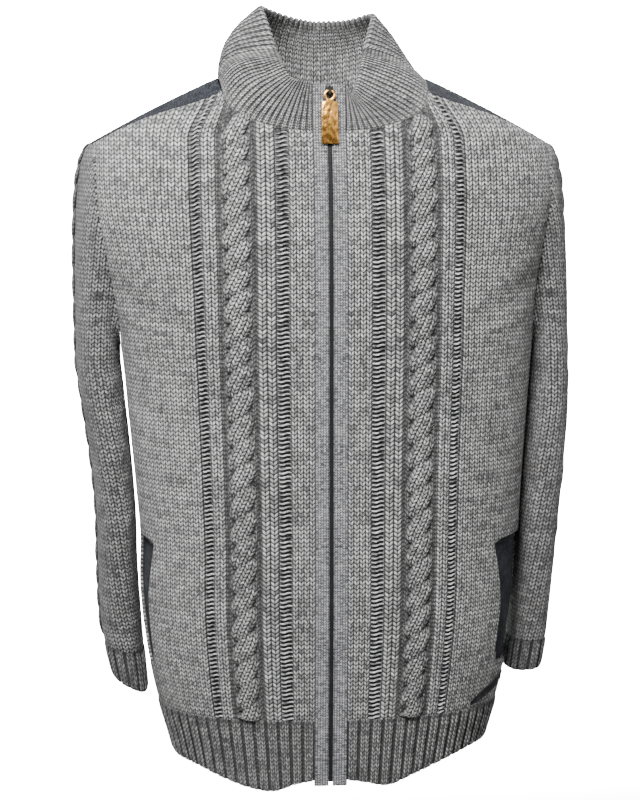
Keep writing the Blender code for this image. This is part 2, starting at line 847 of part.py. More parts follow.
def make_yoke(material):
    """The yoke is a sheet with the neck cut out, so its rims follow its open edges."""
    verts = ([], [])
    faces = []

    def add(pairs, first_place):
        run = []
        for index, pair in enumerate(pairs):
            place = first_place + (1 - first_place) * index / (len(pairs) - 1)
            run.append((place, len(verts[0])))
            verts[0].append(pair[0])
            verts[1].append(pair[1])
        return run

    ridge = len(YOKE_TIP_ANGLES) + 1
    halves = []
    for side in (1, -1):
        runs = []
        for share in reversed(yoke_edge_shares(side)):
            pairs = yoke_column(side, share)
            runs.append(add(pairs, ridge / (ridge + 1 - len(pairs))))
        for first, second in zip(runs, runs[1:]):
            faces += zip_runs(first, second) if side > 0 else zip_runs(second, first)
        runs = [runs[-1][ridge:]]
        runs += [add(yoke_neck_column(side, angle), 0.0) for angle in YOKE_NECK_ANGLES]
        for first, second in zip(runs, runs[1:]):
            faces += zip_runs(first, second) if side > 0 else zip_runs(second, first)
        halves.append(runs[-1])
    middle = add(yoke_neck_column(1, 180), 0.0)
    faces += zip_runs(halves[0], middle) + zip_runs(middle, halves[1])
    return sheet_wall("yoke", verts, faces, material)


def sheet_wall(name, verts, faces, material):
    """Wall between two sheets with the same faces, closed along their open edges."""
    size = len(verts[0])
    used = {}
    for face in faces:
        for a, b in zip(face, face[1:] + face[:1]):
            used[(a, b)] = used.get((a, b), 0) + 1
    rims = [(a, b) for a, b in used if (b, a) not in used]
    solid = list(faces) + [tuple(size + i for i in reversed(face)) for face in faces]
    for a, b in rims:
        solid += [(b, a, size + a), (b, size + a, size + b)]
    return finish_mesh(name, [tuple(v) for v in verts[0] + verts[1]], solid, material)


# ---------------------------------------------------------------- hem ribs
def hem_height(side, face, share):
    """Lower edge: higher at the sides, with a soft dip on each side of the zip."""
    column = "back" if face == "back" else "right" if side > 0 else "left"
    return table_value(HEM, HEM_COLUMNS.index(column), share)


def rib_count(side, face):
    depth = body_size(RIB_TOP, face)
    girth = half_width(side, RIB_TOP) * 0.62 + depth * 0.95
    return round(girth / RIB_PITCH)


def hem_columns(side, face):
    """Columns of a rib from the middle out to the side seam: (share, rise)."""
    count = rib_count(side, face)
    columns = []
    for k in range(count):
        for part, rise in ((0.0, 0.0), (0.22, RIB_RISE), (0.78, RIB_RISE)):
            columns.append(((k + part) / count, rise))
    columns.append((1.0, 0.0))
    return columns


def hem_run(side, face, which):
    top = RIB_TOP
    chosen = hem_columns(side, face)
    if which == 1:
        chosen = [(share, 0.0) for share in spread(0, 1, rib_count(side, face) + 1)]
    run = []
    for share, rise in chosen:
        low = hem_height(side, face, share)
        levels = spread(low, top, 3)
        points = [body_pair(side, face, share, level, rise)[which] for level in levels]
        run.append((share, list(zip(share_of_run(levels), points))))
    return run


def make_hem_front(side, name, material):
    return make_wall(name, hem_run(side, "front", 0), hem_run(side, "front", 1), material)


def make_hem_back(material):
    walls = []
    for which in (0, 1):
        right = [(1 - share, points) for share, points in reversed(hem_run(1, "back", which))]
        left = [(1 + share, points) for share, points in hem_run(-1, "back", which)[1:]]
        walls.append(right + left)
    return make_wall("hem_back", walls[0], walls[1], material)


# ---------------------------------------------------------------- sleeves
def armhole_ring(side):
    """Points round the armhole from the shoulder, down the front and up the back."""
    stations = [("back", 90.0)]
    stations += [("front", angle) for angle in reversed(YOKE_TIP_ANGLES)]
    stations.append(("front", EDGE_AT_TIP))
    stations += [("front", angle) for angle in reversed(FRONT_ARM_ANGLES)]
    stations.append(("front", 0.0))
    stations += [("back", angle) for angle in BACK_ARM_ANGLES]
    stations.append(("back", YOKE_BACK_TIP))
    stations += [("back", angle) for angle in YOKE_BACK_ANGLES]
    ring = []
    for face, angle in stations:
        level = level_of(angle)
        ring.append(body_pair(side, face, arm_share(side, face, level), level))
    return ring


@lru_cache(maxsize=None)
def sleeve_section(side, height):
    """The sleeve's cross-section, from its outermost point towards the front."""
    rows = SLEEVES[side]
    size = {}
    for column, name in enumerate(SLEEVE_COLUMNS):
        size[name] = table_value(rows, column, height)
    middle = ((size["outer"] + size["inner"]) / 2, (size["front"] + size["back"]) / 2)
    half_x = (size["outer"] - size["inner"]) / 2
    half_y = (size["back"] - size["front"]) / 2
    points = []
    for angle in np.linspace(0, 2 * math.pi, 241):
        along, across = rounded(angle, SLEEVE_POWER)
        x = middle[0] + half_x * across * (1 if math.cos(angle) >= 0 else -1)
        y = middle[1] - half_y * along * (1 if math.sin(angle) >= 0 else -1)
        points.append((x, y))
    points = np.array(points)
    run = np.concatenate(([0.0], np.cumsum(np.hypot(*np.diff(points, axis=0).T))))
    return run, points, size


def sleeve_spot(side, height, place):
    """Point on a sleeve below the cap, with place in metres from its outer line."""
    run, points, size = sleeve_section(side, height)
    place = place % run[-1]
    x = float(np.interp(place, run, points[:, 0]))
    y = float(np.interp(place, run, points[:, 1]))
    drop = size["slant"] * (size["outer"] - x) / (size["outer"] - size["inner"])
    return Vector((side * x, y, height - drop))


def sleeve_places(side, ring):
    """Distances round the armhole of its points, and its length."""
    run = [0.0]
    for (a, _), (b, _) in zip(ring, ring[1:] + ring[:1]):
        run.append(run[-1] + (b - a).length)
    return run[:-1], run[-1]


def place_on_sleeve(side, height, place, length):
    """Carries a place on the armhole down the sleeve; the cable keeps its width."""
    girth = sleeve_section(side, height)[0][-1]
    signed = place if place <= length / 2 else place - length
    near = min(abs(signed), SLEEVE_CABLE_HALF)
    far = max(abs(signed) - SLEEVE_CABLE_HALF, 0.0)
    scale = (girth / 2 - SLEEVE_CABLE_HALF) / (length / 2 - SLEEVE_CABLE_HALF)
    turn = UNDERARM_TURN * math.sin(math.pi * signed / length) ** 2
    return math.copysign(near + far * scale, signed) - turn


def sleeve_point(side, start, place, length, down):
    """Point of a sleeve column: start on the armhole, down in metres below it."""
    if down >= CAP_LENGTH:
        height = SLEEVE_TOP - (down - CAP_LENGTH)
        return sleeve_spot(side, height, place_on_sleeve(side, height, place, length))
    end = sleeve_spot(side, SLEEVE_TOP, place_on_sleeve(side, SLEEVE_TOP, place, length))
    reach = (end - start).length
    t = down / CAP_LENGTH
    leave = Vector((side, 0.0, -0.25)) * max(reach * 0.30, 0.008)
    arrive = Vector((0.0, 0.0, -1.0)) * reach * 1.0
    return (
        start * (2 * t ** 3 - 3 * t ** 2 + 1)
        + leave * (t ** 3 - 2 * t ** 2 + t)
        + end * (3 * t ** 2 - 2 * t ** 3)
        + arrive * (t ** 3 - t ** 2)
    )


def sleeve_length():
    return CAP_LENGTH + SLEEVE_TOP - CUFF_TOP


def sleeve_pair(side, ring, places, length, k, down, rise):
    """Outer and inner point of a sleeve's wall at column k."""
    count = len(ring)

    def point(u, v):
        low = int(math.floor(u)) % count
        high = (low + 1) % count
        t = u - math.floor(u)
        place_high = places[high] if high else length
        place = places[low] * (1 - t) + place_high * t
        start = ring[low][0].lerp(ring[high][0], t)
        return sleeve_point(side, start, place % length, length, v)

    start_shift = Vector((side * (GAP + 0.0001), 0, 0)) if down == 0 else Vector((0, 0, 0))
    base = point(k, down) + start_shift
    along_u = point(k + 0.3, down) - point(k - 0.3 + count, down)
    ahead = min(down + 0.004, sleeve_length() + 0.03)
    along_v = point(k, ahead) - point(k, max(down - 0.002, 0.0))
    out = along_v.cross(along_u).normalized() * -side
    if down > sleeve_length() - 0.002:
        out.z = 0.0
    return base + out * rise, base - out * WALL


def make_sleeve(side, name, material):
    ring = armhole_ring(side)
    places, length = sleeve_places(side, ring)
    total = sleeve_length() - HEM_GAP
    pitch = ROW * ROWS_PER_CROSSING
    fine = spread(0, total, round(total / pitch) * SLEEVE_CABLE_STEPS + 1)
    coarse = spread(0, CAP_LENGTH, 8) + spread(CAP_LENGTH, total, 8)[1:]
    walls = ([], [])
    for k in range(len(ring)):
        signed = places[k] if places[k] < length / 2 else places[k] - length
        on_cable = abs(signed) <= SLEEVE_CABLE_HALF
        for which in (0, 1):
            levels = fine if on_cable and which == 0 else coarse
            points = []
            for down in levels:
                rise = 0.0
                if on_cable and 0 < down < total:
                    across = -side * signed / SLEEVE_CABLE_HALF
                    rise = cable_rise(across, -down / pitch, SLEEVE_CABLE_HALF, pitch)
                points.append(sleeve_pair(side, ring, places, length, k, down, rise)[which])
            walls[which].append((k / len(ring), list(zip(share_of_run(levels), points))))
    return make_wall(name, walls[0], walls[1], material, wrap=True, lead=-side)


def make_cuff(side, name, material):
    girth = sleeve_section(side, CUFF_TOP)[0][-1]
    ribs = round(girth / RIB_PITCH)
    pull_in = 0.0012
    walls = ([], [])
    rib = ((0.0, 0.0), (0.22, RIB_RISE), (0.78, RIB_RISE))
    steps = [(k + part, rise) for k in range(ribs) for part, rise in rib]
    for which, chosen in ((0, steps), (1, [(k, 0.0) for k in range(ribs)])):
        for turn, rise in chosen:
            points = []
            levels = spread(CUFF_TOP - GAP, CUFF_END[side], 4)
            for level in levels:
                here = sleeve_section(side, level)[0][-1]
                place = here * turn / ribs
                base = sleeve_spot(side, level, place)
                ahead = sleeve_spot(side, level, place + 0.002) - sleeve_spot(side, level, place - 0.002)
                out = ahead.cross(Vector((0, 0, 1))).normalized() * -side
                offset = rise - pull_in if which == 0 else -WALL - pull_in
                points.append(base + out * offset)
            walls[which].append((turn / ribs, list(zip(spread(0, 1, 4), points))))
    return make_wall(name, walls[0], walls[1], material, wrap=True)


# ---------------------------------------------------------------- collar
def collar_base(side, angle):
    """Neck seam: angle 0 at the zip and 180 at the middle of the back."""
    if angle > 90:
        return back_neck_point(side, angle)
    x = max(NECK_HALF * math.sin(math.radians(angle)), BAND_EDGE)
    return Vector((side * x, surface_depth(side, "front", x, neck_height(x)), neck_height(x)))


def collar_top(side, angle):
    rows = COLLAR_RIGHT if side > 0 else COLLAR_LEFT
    x, y, z = (table_value(rows, column, angle) for column in (1, 2, 3))
    return Vector((side * x, y, z))


COLLAR_START = math.degrees(math.asin(BAND_EDGE / NECK_HALF))


def collar_place(turn):
    """Side and angle at a place round the collar, from 0 to 2, left to right."""
    side = -1 if turn < 1 else 1
    part = turn if turn < 1 else 2 - turn
    return side, COLLAR_START + (180 - COLLAR_START) * part


def collar_point(turn, up):
    side, angle = collar_place(turn)
    base = collar_base(side, angle)
    top = collar_top(side, angle)
    base = base + (top - base).normalized() * COLLAR_LIFT
    out = Vector((base.x, base.y, 0.0)).normalized()
    column = COLLAR_SWELL_COLUMNS.index("right" if side > 0 else "left")
    swell = table_value(COLLAR_SWELL, column, angle) * math.sin(math.pi * up)
    return base.lerp(top, up) + (out + Vector((0, 0, 0.5))) * swell


def seam_inward(side, angle):
    """Direction along the body's cloth, square to the neck seam, into the neck opening."""
    spot = collar_base(side, angle)
    out = closing_normal(side, "front" if angle <= 90 else "back", spot)
    along = collar_base(side, min(angle + 2, 180)) - collar_base(side, max(angle - 2, COLLAR_START))
    inward = out.cross(along.normalized())
    towards = collar_top(side, angle) - spot
    return inward.normalized() * (1 if inward.dot(towards) > 0 else -1)


def collar_pair(turn, up, rise):
    step = 0.008
    low_u, high_u = max(turn - step, 0.0), min(turn + step, 2.0)
    along_u = collar_point(high_u, up) - collar_point(low_u, up)
    along_v = collar_point(turn, min(up + 0.02, 1.0)) - collar_point(turn, max(up - 0.02, 0.0))
    out = along_v.cross(along_u).normalized()
    base = collar_point(turn, up)
    if out.dot(base - Vector((0, 0, base.z))) < 0:
        out = -out
    inner = base - out * COLLAR_WALL
    side, angle = collar_place(turn)
    inward = seam_inward(side, angle)
    climb = along_v.normalized()
    lift = max(COLLAR_WALL * out.dot(inward) / max(climb.dot(inward), 0.3), 0.0)
    return base + out * rise * min(up * 4, 1.0), inner + climb * lift * (1 - up) ** 2


COLLAR_ROWS = (0.0, 0.3, 0.62, 1.0)


def collar_run():
    """Places round the collar and the length of the neck seam up to each."""
    turns = spread(0.0, 2.0, 401)
    points = [collar_point(turn, 0) for turn in turns]
    run = [0.0]
    for a, b in zip(points, points[1:]):
        run.append(run[-1] + (b - a).length)
    return turns, run


def make_collar(material):
    turns, run = collar_run()
    ribs = round(run[-1] / COLLAR_PITCH)
    outer = []
    for k in range(ribs):
        for part, rise in ((0.0, 0.0), (0.5, COLLAR_RISE)):
            turn = float(np.interp(run[-1] * (k + part) / ribs, run, turns))
            points = [(up, collar_pair(turn, up, rise)[0]) for up in COLLAR_ROWS]
            outer.append((turn, points))
    outer.append((2.0, [(up, collar_pair(2.0, up, 0)[0]) for up in COLLAR_ROWS]))
    inner = []
    for length in spread(0, run[-1], 49):
        turn = float(np.interp(length, run, turns))
        inner.append((turn, [(up, collar_pair(turn, up, 0)[1]) for up in COLLAR_ROWS]))
    return make_wall("collar", outer, inner, material)


# ---------------------------------------------------------------- zip and bands
def front_line(z):
    """Depth of the cloth at the middle of the front, from the hem to the collar's top."""
    if z <= neck_height(0.0):
        return surface_depth(1, "front", 0.009, z)
    low = surface_depth(1, "front", 0.009, neck_height(0.0))
    top = COLLAR_RIGHT[0][2]
    t = (z - neck_height(0.0)) / (COLLAR_RIGHT[0][3] - neck_height(0.0))
    return low + (top - low) * min(t, 1.2)


def zip_rows(top, bottom):
    """Heights of the points down the front, the same for every strip along the zip."""
    inner = spread(-0.70, -0.28, 12) + spread(-0.255, -0.08, 8) + [-0.068, neck_height(0.0), -0.035]
    return [bottom] + [z for z in inner if bottom + 0.004 < z < top - 0.004] + [top]


def along_zip(name, profile, top, bottom, material):
    """Strip down the front with a closed profile of (x, distance behind the cloth)."""
    verts = []
    heights = zip_rows(top, bottom)
    count = len(heights)
    for z in heights:
        for x, back in profile:
            verts.append((x, front_line(z) + back, z))
    size = len(profile)
    faces = []
    for row in range(count - 1):
        for i in range(size):
            j = (i + 1) % size
            a = row * size
            faces.append((a + i, a + j, a + size + j, a + size + i))
    faces.append(tuple(range(size)))
    faces.append(tuple(range((count - 1) * size, count * size)))
    return finish_mesh(name, verts, faces, material)


def make_band(side, name, material):
    outer_x = BAND_EDGE - GAP
    proud = -0.0012
    behind = 0.0018
    round_off = 0.0012
    profile = [
        (side * BAND_INNER, behind),
        (side * BAND_INNER, proud + round_off),
        (side * (BAND_INNER + round_off), proud),
        (side * (outer_x - round_off), proud),
        (side * outer_x, proud + round_off),
        (side * outer_x, behind),
    ]
    return along_zip(name, profile, ZIP_TOP + 0.0045, ZIP_END, material)


def make_zip(material):
    """Tape behind the bands with the closed chain of teeth standing up in the slot."""
    tape_front = 0.0021
    tape_back = 0.0031
    chain = 0.0017
    chain_front = 0.0002
    wide = 0.0140
    profile = [
        (-wide, tape_front),
        (-chain, tape_front),
        (-chain, chain_front),
        (chain, chain_front),
        (chain, tape_front),
        (wide, tape_front),
        (wide, tape_back),
        (-wide, tape_back),
    ]
    return along_zip("zip_chain", profile, ZIP_TOP, ZIP_END + 0.004, material)


def box_mesh(low, high, bevel):
    work = bmesh.new()
    middle = (Vector(low) + Vector(high)) / 2
    size = Vector(high) - Vector(low)
    place = Matrix.Translation(middle) @ Matrix.Diagonal((*size, 1.0))
    bmesh.ops.create_cube(work, size=1.0, matrix=place)
    bmesh.ops.bevel(work, geom=work.edges[:], offset=bevel, segments=2, affect="EDGES", profile=0.5)
    return work


def slider_frame():
    """Place and tilt of the slider: flat on the bands, level with the pull's hinge."""
    reach = 0.010
    low = front_line(PULL_AXIS_HEIGHT - reach)
    high = front_line(PULL_AXIS_HEIGHT + reach / 2)
    tilt = math.atan2(high - low, reach * 1.5)
    face = min(front_line(PULL_AXIS_HEIGHT), (low + 2 * high) / 3) - 0.0012 - GAP
    return Matrix.Translation((0, face, PULL_AXIS_HEIGHT)) @ Matrix.Rotation(-tilt, 4, "X")


def pull_axis():
    return slider_frame() @ Vector((0.0, -0.0022 - 0.0019, 0.0))


def make_slider(material):
    """Slider at the top of the zip: a plate with a bridge that holds the pull's ring."""
    thick = 0.0022
    half = 0.0042
    plate = box_mesh((-half, -thick, -0.0095), (half, 0.0, 0.0045), 0.0009)
    bmesh.ops.transform(plate, matrix=slider_frame(), verts=plate.verts)
    mesh = bpy.data.meshes.new("zip_slider")
    plate.to_mesh(mesh)
    plate.free()
    slider = bpy.data.objects.new("zip_slider", mesh)
    bpy.context.collection.objects.link(slider)
    slider.data.materials.append(material)
    bridge = make_bridge(-thick)
    union = slider.modifiers.new("bridge", "BOOLEAN")
    union.operation = "UNION"
    union.solver = "EXACT"
    union.object = bridge
    return slider


def make_bridge(face):
    """Arch over the pull's ring, drawn in the depth-height plane and made solid."""
    half = 0.0011
    inner = 0.0030
    thick = 0.0014
    front = face - 0.0019 - 0.0021
    outline = [
        (face + 0.0006, inner + thick),
        (front - thick * 0.4, inner + thick),
        (front - thick, inner + thick * 0.3),
        (front - thick, -inner - thick * 0.3),
        (front - thick * 0.4, -inner - thick),
        (face + 0.0006, -inner - thick),
        (face + 0.0006, -inner),
        (front, -inner),
        (front, inner),
        (face + 0.0006, inner),
    ]
    verts = []
    for x in (-half, half):
        for y, dz in outline:
            verts.append(slider_frame() @ Vector((x, y, dz)))
    size = len(outline)
    faces = [(i, (i + 1) % size, size + (i + 1) % size, size + i) for i in range(size)]
    faces.append(tuple(range(size)))
    faces.append(tuple(range(size, 2 * size)))
    mesh = bpy.data.meshes.new("bridge")
    mesh.from_pydata(verts, [], faces)
    work = bmesh.new()
    work.from_mesh(mesh)
    bmesh.ops.recalc_face_normals(work, faces=work.faces)
    work.to_mesh(mesh)
    work.free()
    bridge = bpy.data.objects.new("bridge", mesh)
    bpy.context.collection.objects.link(bridge)
    bridge.hide_render = True
    bridge.display_type = "WIRE"
    return bridge


def pull_lean():
    """Angle at which the hanging pull rests with its lower end on the cloth."""
    axis = pull_axis()
    low = axis.z - PULL_LENGTH - 0.0105
    cloth = front_line(low) - 0.0012 - 0.0004
    return math.atan2((axis.y + PULL_THICKNESS / 2) - cloth, axis.z - low)


def make_pull(material):
    """Flat pull tab with a ring at its top, drawn upright and leaned against the cloth."""
    ring_out = 0.0062
    bar = 0.0011
    hole_half_width = 0.0036
    hole_low = -0.0078
    neck = -0.0108
    half_top = PULL_WIDTH / 2 - 0.0008
    half_low = PULL_WIDTH / 2
    end = neck - PULL_LENGTH + 0.002
    corner = 0.0016
    outline = []
    for step in range(9):
        angle = math.pi * step / 8
        outline.append((ring_out * math.cos(angle), -0.0045 + (0.0045 + bar) * math.sin(angle)))
    outline += [
        (-ring_out, neck + corner),
        (-half_top + corner, neck),
        (-half_top, neck - corner),
        (-half_low, end + corner),
        (-half_low + corner, end),
        (half_low - corner, end),
        (half_low, end + corner),
        (half_top, neck - corner),
        (half_top - corner, neck),
        (ring_out, neck + corner),
    ]
    hole = []
    hole_top = -bar
    middle = (hole_top + hole_low) / 2
    for step in range(16):
        angle = 2 * math.pi * (step + 0.5) / 16
        up = max(-1.0, min(1.0, math.sin(angle) / math.sin(2 * math.pi * 3.5 / 16)))
        hole.append((hole_half_width * math.cos(angle), middle + (hole_top - middle) * up))
    work = bmesh.new()
    half = PULL_THICKNESS / 2
    loops = []
    for points in (outline, hole):
        verts = [work.verts.new((x, -half, z)) for x, z in points]
        loops.append([work.edges.new((verts[i], verts[(i + 1) % len(verts)])) for i in range(len(verts))])
    edges = [edge for loop in loops for edge in loop]
    bmesh.ops.triangle_fill(work, use_beauty=True, use_dissolve=False, edges=edges)
    grown = bmesh.ops.extrude_face_region(work, geom=work.faces[:])
    moved = [item for item in grown["geom"] if isinstance(item, bmesh.types.BMVert)]
    bmesh.ops.translate(work, verts=moved, vec=(0, PULL_THICKNESS, 0))
    bmesh.ops.recalc_face_normals(work, faces=work.faces)
    lean = Matrix.Rotation(-pull_lean(), 4, "X")
    bmesh.ops.transform(work, matrix=lean, verts=work.verts)
    mesh = bpy.data.meshes.new("zip_pull")
    work.to_mesh(mesh)
    work.free()
    mesh.shade_smooth()
    mesh.set_sharp_from_angle(angle=math.radians(30))
    pull = bpy.data.objects.new("zip_pull", mesh)
    pull.location = pull_axis()
    bpy.context.collection.objects.link(pull)
    pull.data.materials.append(material)
    return pull


# ---------------------------------------------------------------- pockets and side tab
def make_facing(side, name, material):
    """Smooth cloth that shows in a pocket's mouth, just inside the front's wall.

    Its first columns run behind the front's own plain columns, and its last one lies
    behind a column of the back.
    """
    first = front_columns(side)[-1][0]
    levels = front_edge_levels(side)[1:8]
    sink = WALL + 0.0008
    columns = []
    for k in range(PLAIN_COLUMNS - 2, PLAIN_COLUMNS + 1):
        part = k / PLAIN_COLUMNS
        ends = [front_end(side, level) if k == PLAIN_COLUMNS else soft_end(side, level) for level in levels]
        columns.append([first + (end - first) * part for end in ends])
    mouth = columns[-1]
    columns.append([(share + 1) / 2 if share < 0.999 else 1 + (FACING_END - 1) * 0.15 for share in mouth])
    columns.append([1.0 if share < 0.999 else 1 + (FACING_END - 1) * 0.3 for share in mouth])
    columns.append([FACING_END for share in mouth])
    walls = ([], [])
    for index, column in enumerate(columns):
        pairs = []
        for share, level in zip(column, levels):
            pairs.append(body_pair(side, "front", share, level, wall=0.0012, sink=sink))
        for which in (0, 1):
            points = [pair[which] for pair in pairs]
            walls[which].append((index, list(zip(share_of_run(levels), points))))
    return make_wall(name, walls[0], walls[1], material, lead=side)


def make_side_tab(material):
    """Small folded tab sewn over the side seam above the hem rib."""
    low_in, low_out = -0.6545, -0.6400
    height = 0.0095
    walls = ([], [])
    for index, t in enumerate(spread(0, 1, 6)):
        x = 0.1500 + (0.1900 - 0.1500) * t
        low = low_in + (low_out - low_in) * t
        for which in (0, 1):
            points = []
            for level in (low, low + height / 2, low + height):
                share = share_at(1, "front", level, x)
                points.append(body_pair(1, "front", share, level, rise=0.0016, wall=-0.0004)[which])
            walls[which].append((index, list(zip((0.0, 0.5, 1.0), points))))
    return make_wall("side_tab", walls[0], walls[1], material)


# ---------------------------------------------------------------- the garment
def make_material(name, colour, roughness, metallic=0.0):
    material = bpy.data.materials.new(name)
    material.use_nodes = True
    shader = material.node_tree.nodes["Principled BSDF"]
    shader.inputs["Base Color"].default_value = (*colour, 1.0)
    shader.inputs["Roughness"].default_value = roughness
    shader.inputs["Metallic"].default_value = metallic
    return material


def main():
    for obj in list(bpy.data.objects):
        bpy.data.objects.remove(obj)
    wool = make_material("marled_wool", (0.36, 0.36, 0.37), 0.95)
    dark_wool = make_material("sleeve_wool", (0.30, 0.30, 0.31), 0.95)
    jersey = make_material("band_jersey", (0.27, 0.28, 0.29), 0.9)
    slate = make_material("slate_jersey", (0.07, 0.08, 0.10), 0.9)
    brass = make_material("brass", (0.78, 0.55, 0.25), 0.35, 1.0)
    tape = make_material("zip_tape", (0.05, 0.05, 0.055), 0.7)
    label = make_material("tab_cloth", (0.02, 0.02, 0.022), 0.8)
    for side, name in ((-1, "left"), (1, "right")):
        make_front(side, "front_" + name, wool)
        make_hem_front(side, "hem_front_" + name, wool)
        make_sleeve(side, "sleeve_" + name, dark_wool)
        make_cuff(side, "cuff_" + name, dark_wool)
        make_band(side, "band_" + name, jersey)
        make_facing(side, "pocket_facing_" + name, slate)
    make_back(wool)
    make_hem_back(wool)
    make_yoke(slate)
    make_collar(wool)
    make_zip(tape)
    make_slider(brass)
    make_pull(brass)
    make_side_tab(label)


main()
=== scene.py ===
"""Cable knit zip cardigan, dressed: every cloth piece as a thin knitted shell on its CAD form.

Metres, +Z up, the front faces -Y. The pieces follow the same sizes and curves as the CAD
model. Knit patterns are drawn in stitch counts: a piece's UV map holds knitted columns
across and rows up, and so the stitches stay the right size all over it.
"""

import math
from functools import lru_cache

import bmesh
import bpy
import numpy as np
from mathutils import Matrix, Vector


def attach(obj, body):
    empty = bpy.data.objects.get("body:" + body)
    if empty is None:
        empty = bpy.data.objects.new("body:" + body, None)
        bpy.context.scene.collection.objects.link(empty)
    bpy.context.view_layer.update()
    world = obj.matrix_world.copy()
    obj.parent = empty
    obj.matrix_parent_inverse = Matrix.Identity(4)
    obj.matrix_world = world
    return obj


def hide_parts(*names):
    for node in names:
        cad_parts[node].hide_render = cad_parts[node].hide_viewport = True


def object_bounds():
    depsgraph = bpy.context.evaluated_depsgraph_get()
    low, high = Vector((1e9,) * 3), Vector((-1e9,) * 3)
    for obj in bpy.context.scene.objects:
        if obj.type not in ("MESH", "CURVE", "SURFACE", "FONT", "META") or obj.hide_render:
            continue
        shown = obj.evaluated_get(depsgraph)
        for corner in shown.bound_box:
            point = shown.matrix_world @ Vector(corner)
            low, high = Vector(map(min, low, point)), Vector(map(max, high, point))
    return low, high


bl_info = {
    "name": "Cable Knit Cardigan",
    "version": (1, 0, 0),
    "blender": (4, 5, 0),
    "location": "View3D > Sidebar > Cardigan",
    "description": "Builds the knitted pieces, zip and stage of a cable knit cardigan",
    "category": "Object",
}

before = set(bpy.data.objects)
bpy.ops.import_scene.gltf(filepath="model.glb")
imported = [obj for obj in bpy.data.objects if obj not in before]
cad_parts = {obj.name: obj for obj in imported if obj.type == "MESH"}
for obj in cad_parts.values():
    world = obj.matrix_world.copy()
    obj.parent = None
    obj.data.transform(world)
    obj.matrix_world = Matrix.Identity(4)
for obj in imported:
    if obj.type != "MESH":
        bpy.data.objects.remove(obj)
CAD_BOX = [list(corner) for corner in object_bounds()]
BODY_NAME = "garment"
PULL_NAME = "pull"

# ---------------------------------------------------------------- driving sizes

GAP = 0.0003                 # between pieces that are sewn together
WALL = 0.0030                # knitted cloth
COLLAR_WALL = 0.0056         # the collar is folded double
BAND_EDGE = 0.0168           # where a front meets the smooth band beside the zip
BAND_INNER = 0.0021          # half of the slot that shows the zip
SIDE_Y = -0.010              # the side seams lie a little before the middle
RIDGE_Y = 0.005              # the top of the shoulders
CHEST = -0.280               # underarm level: above it the body closes over the shoulders
DOME = 0.290                 # height that the closing part spans at the neck
SECTION_POWER = 2.5          # squareness of the body seen from above
DOME_POWER = 3.0             # squareness of the upper body seen from the side
RIB_TOP = -0.6595            # where the hem rib starts
HEM_GAP = 0.0005             # a little more than the other seams, round the body's curve
NECK_HALF = 0.1085           # half width of the neck opening at the shoulders
ROW = 0.00445                # height of a knitted row on the lower body
ROW_TOP = 0.0038             # height of a row near the neck
ROW_SHRINK = (ROW - ROW_TOP) / 0.25
ROWS_PER_CROSSING = 5.65     # of the cables
RIB_PITCH = 0.0125           # hem and cuff ribs: two raised columns and a groove
COLLAR_PITCH = 0.0066        # collar ribs
# Half-widths to each side of the zip, and depths before and behind the side line.
BODY_COLUMNS = ("height", "left", "right", "front", "back")
BODY = (
    (-0.740, 0.155, 0.167, 0.116, 0.112),
    (-0.700, 0.1645, 0.1775, 0.119, 0.116),
    (-0.660, 0.176, 0.189, 0.122, 0.120),
    (-0.610, 0.1865, 0.1995, 0.125, 0.123),
    (-0.540, 0.194, 0.209, 0.128, 0.125),
    (-0.480, 0.1935, 0.211, 0.128, 0.125),
    (-0.430, 0.1975, 0.2135, 0.127, 0.124),
    (-0.360, 0.204, 0.218, 0.126, 0.124),
    (-0.280, 0.212, 0.2235, 0.126, 0.128),
    (-0.215, 0.2245, 0.229, 0.126, 0.128),
    (-0.170, 0.2365, 0.2385, 0.126, 0.128),
    (-0.130, 0.245, 0.2475, 0.126, 0.128),
    (-0.065, 0.2475, 0.2485, 0.126, 0.128),
    (0.020, 0.2475, 0.2485, 0.126, 0.128),
)
# Lower edge: share of the way from the zip to the side seam, and heights.
HEM_COLUMNS = ("share", "left", "right", "back")
HEM = (
    (0.00, -0.7245, -0.7245, -0.7150),
    (0.10, -0.7290, -0.7285, -0.7150),
    (0.19, -0.7358, -0.7325, -0.7150),
    (0.33, -0.7335, -0.7225, -0.7150),
    (0.45, -0.7265, -0.7135, -0.7148),
    (0.62, -0.7165, -0.7040, -0.7145),
    (0.85, -0.7150, -0.7045, -0.7140),
    (1.00, -0.7150, -0.7090, -0.7135),
)
# Front neck seam: distance from the zip and height.
NECK_FRONT = (
    (0.000, -0.0555),
    (0.030, -0.0545),
    (0.060, -0.0495),
    (0.080, -0.0430),
    (0.095, -0.0345),
    (0.1035, -0.0235),
    (0.1068, -0.0125),
    (0.1080, -0.0060),
    (NECK_HALF, -0.0020),
)
NECK_BACK_DEPTH = 0.083      # the back neck seam, behind the shoulder line
# Armhole: angle up the closing part of the body, and share of the chest half-width.
ARMHOLE = (
    (0, 1.0),
    (2, 0.9965),
    (5, 0.991),
    (14, 0.984),
    (24, 0.977),
    (34, 0.970),
    (54, 0.966),
    (72, 0.976),
    (90, 0.985),
)
EDGE_AT_NECK = 68.0          # angle at which the fronts end and the yoke begins
EDGE_AT_TIP = 73.2
YOKE_TIP_ANGLES = (78.6, 84.3)
YOKE_BACK_ANGLES = (54, 64, 73.2, 78.6, 84.3)
YOKE_BACK_TIP = 44.0
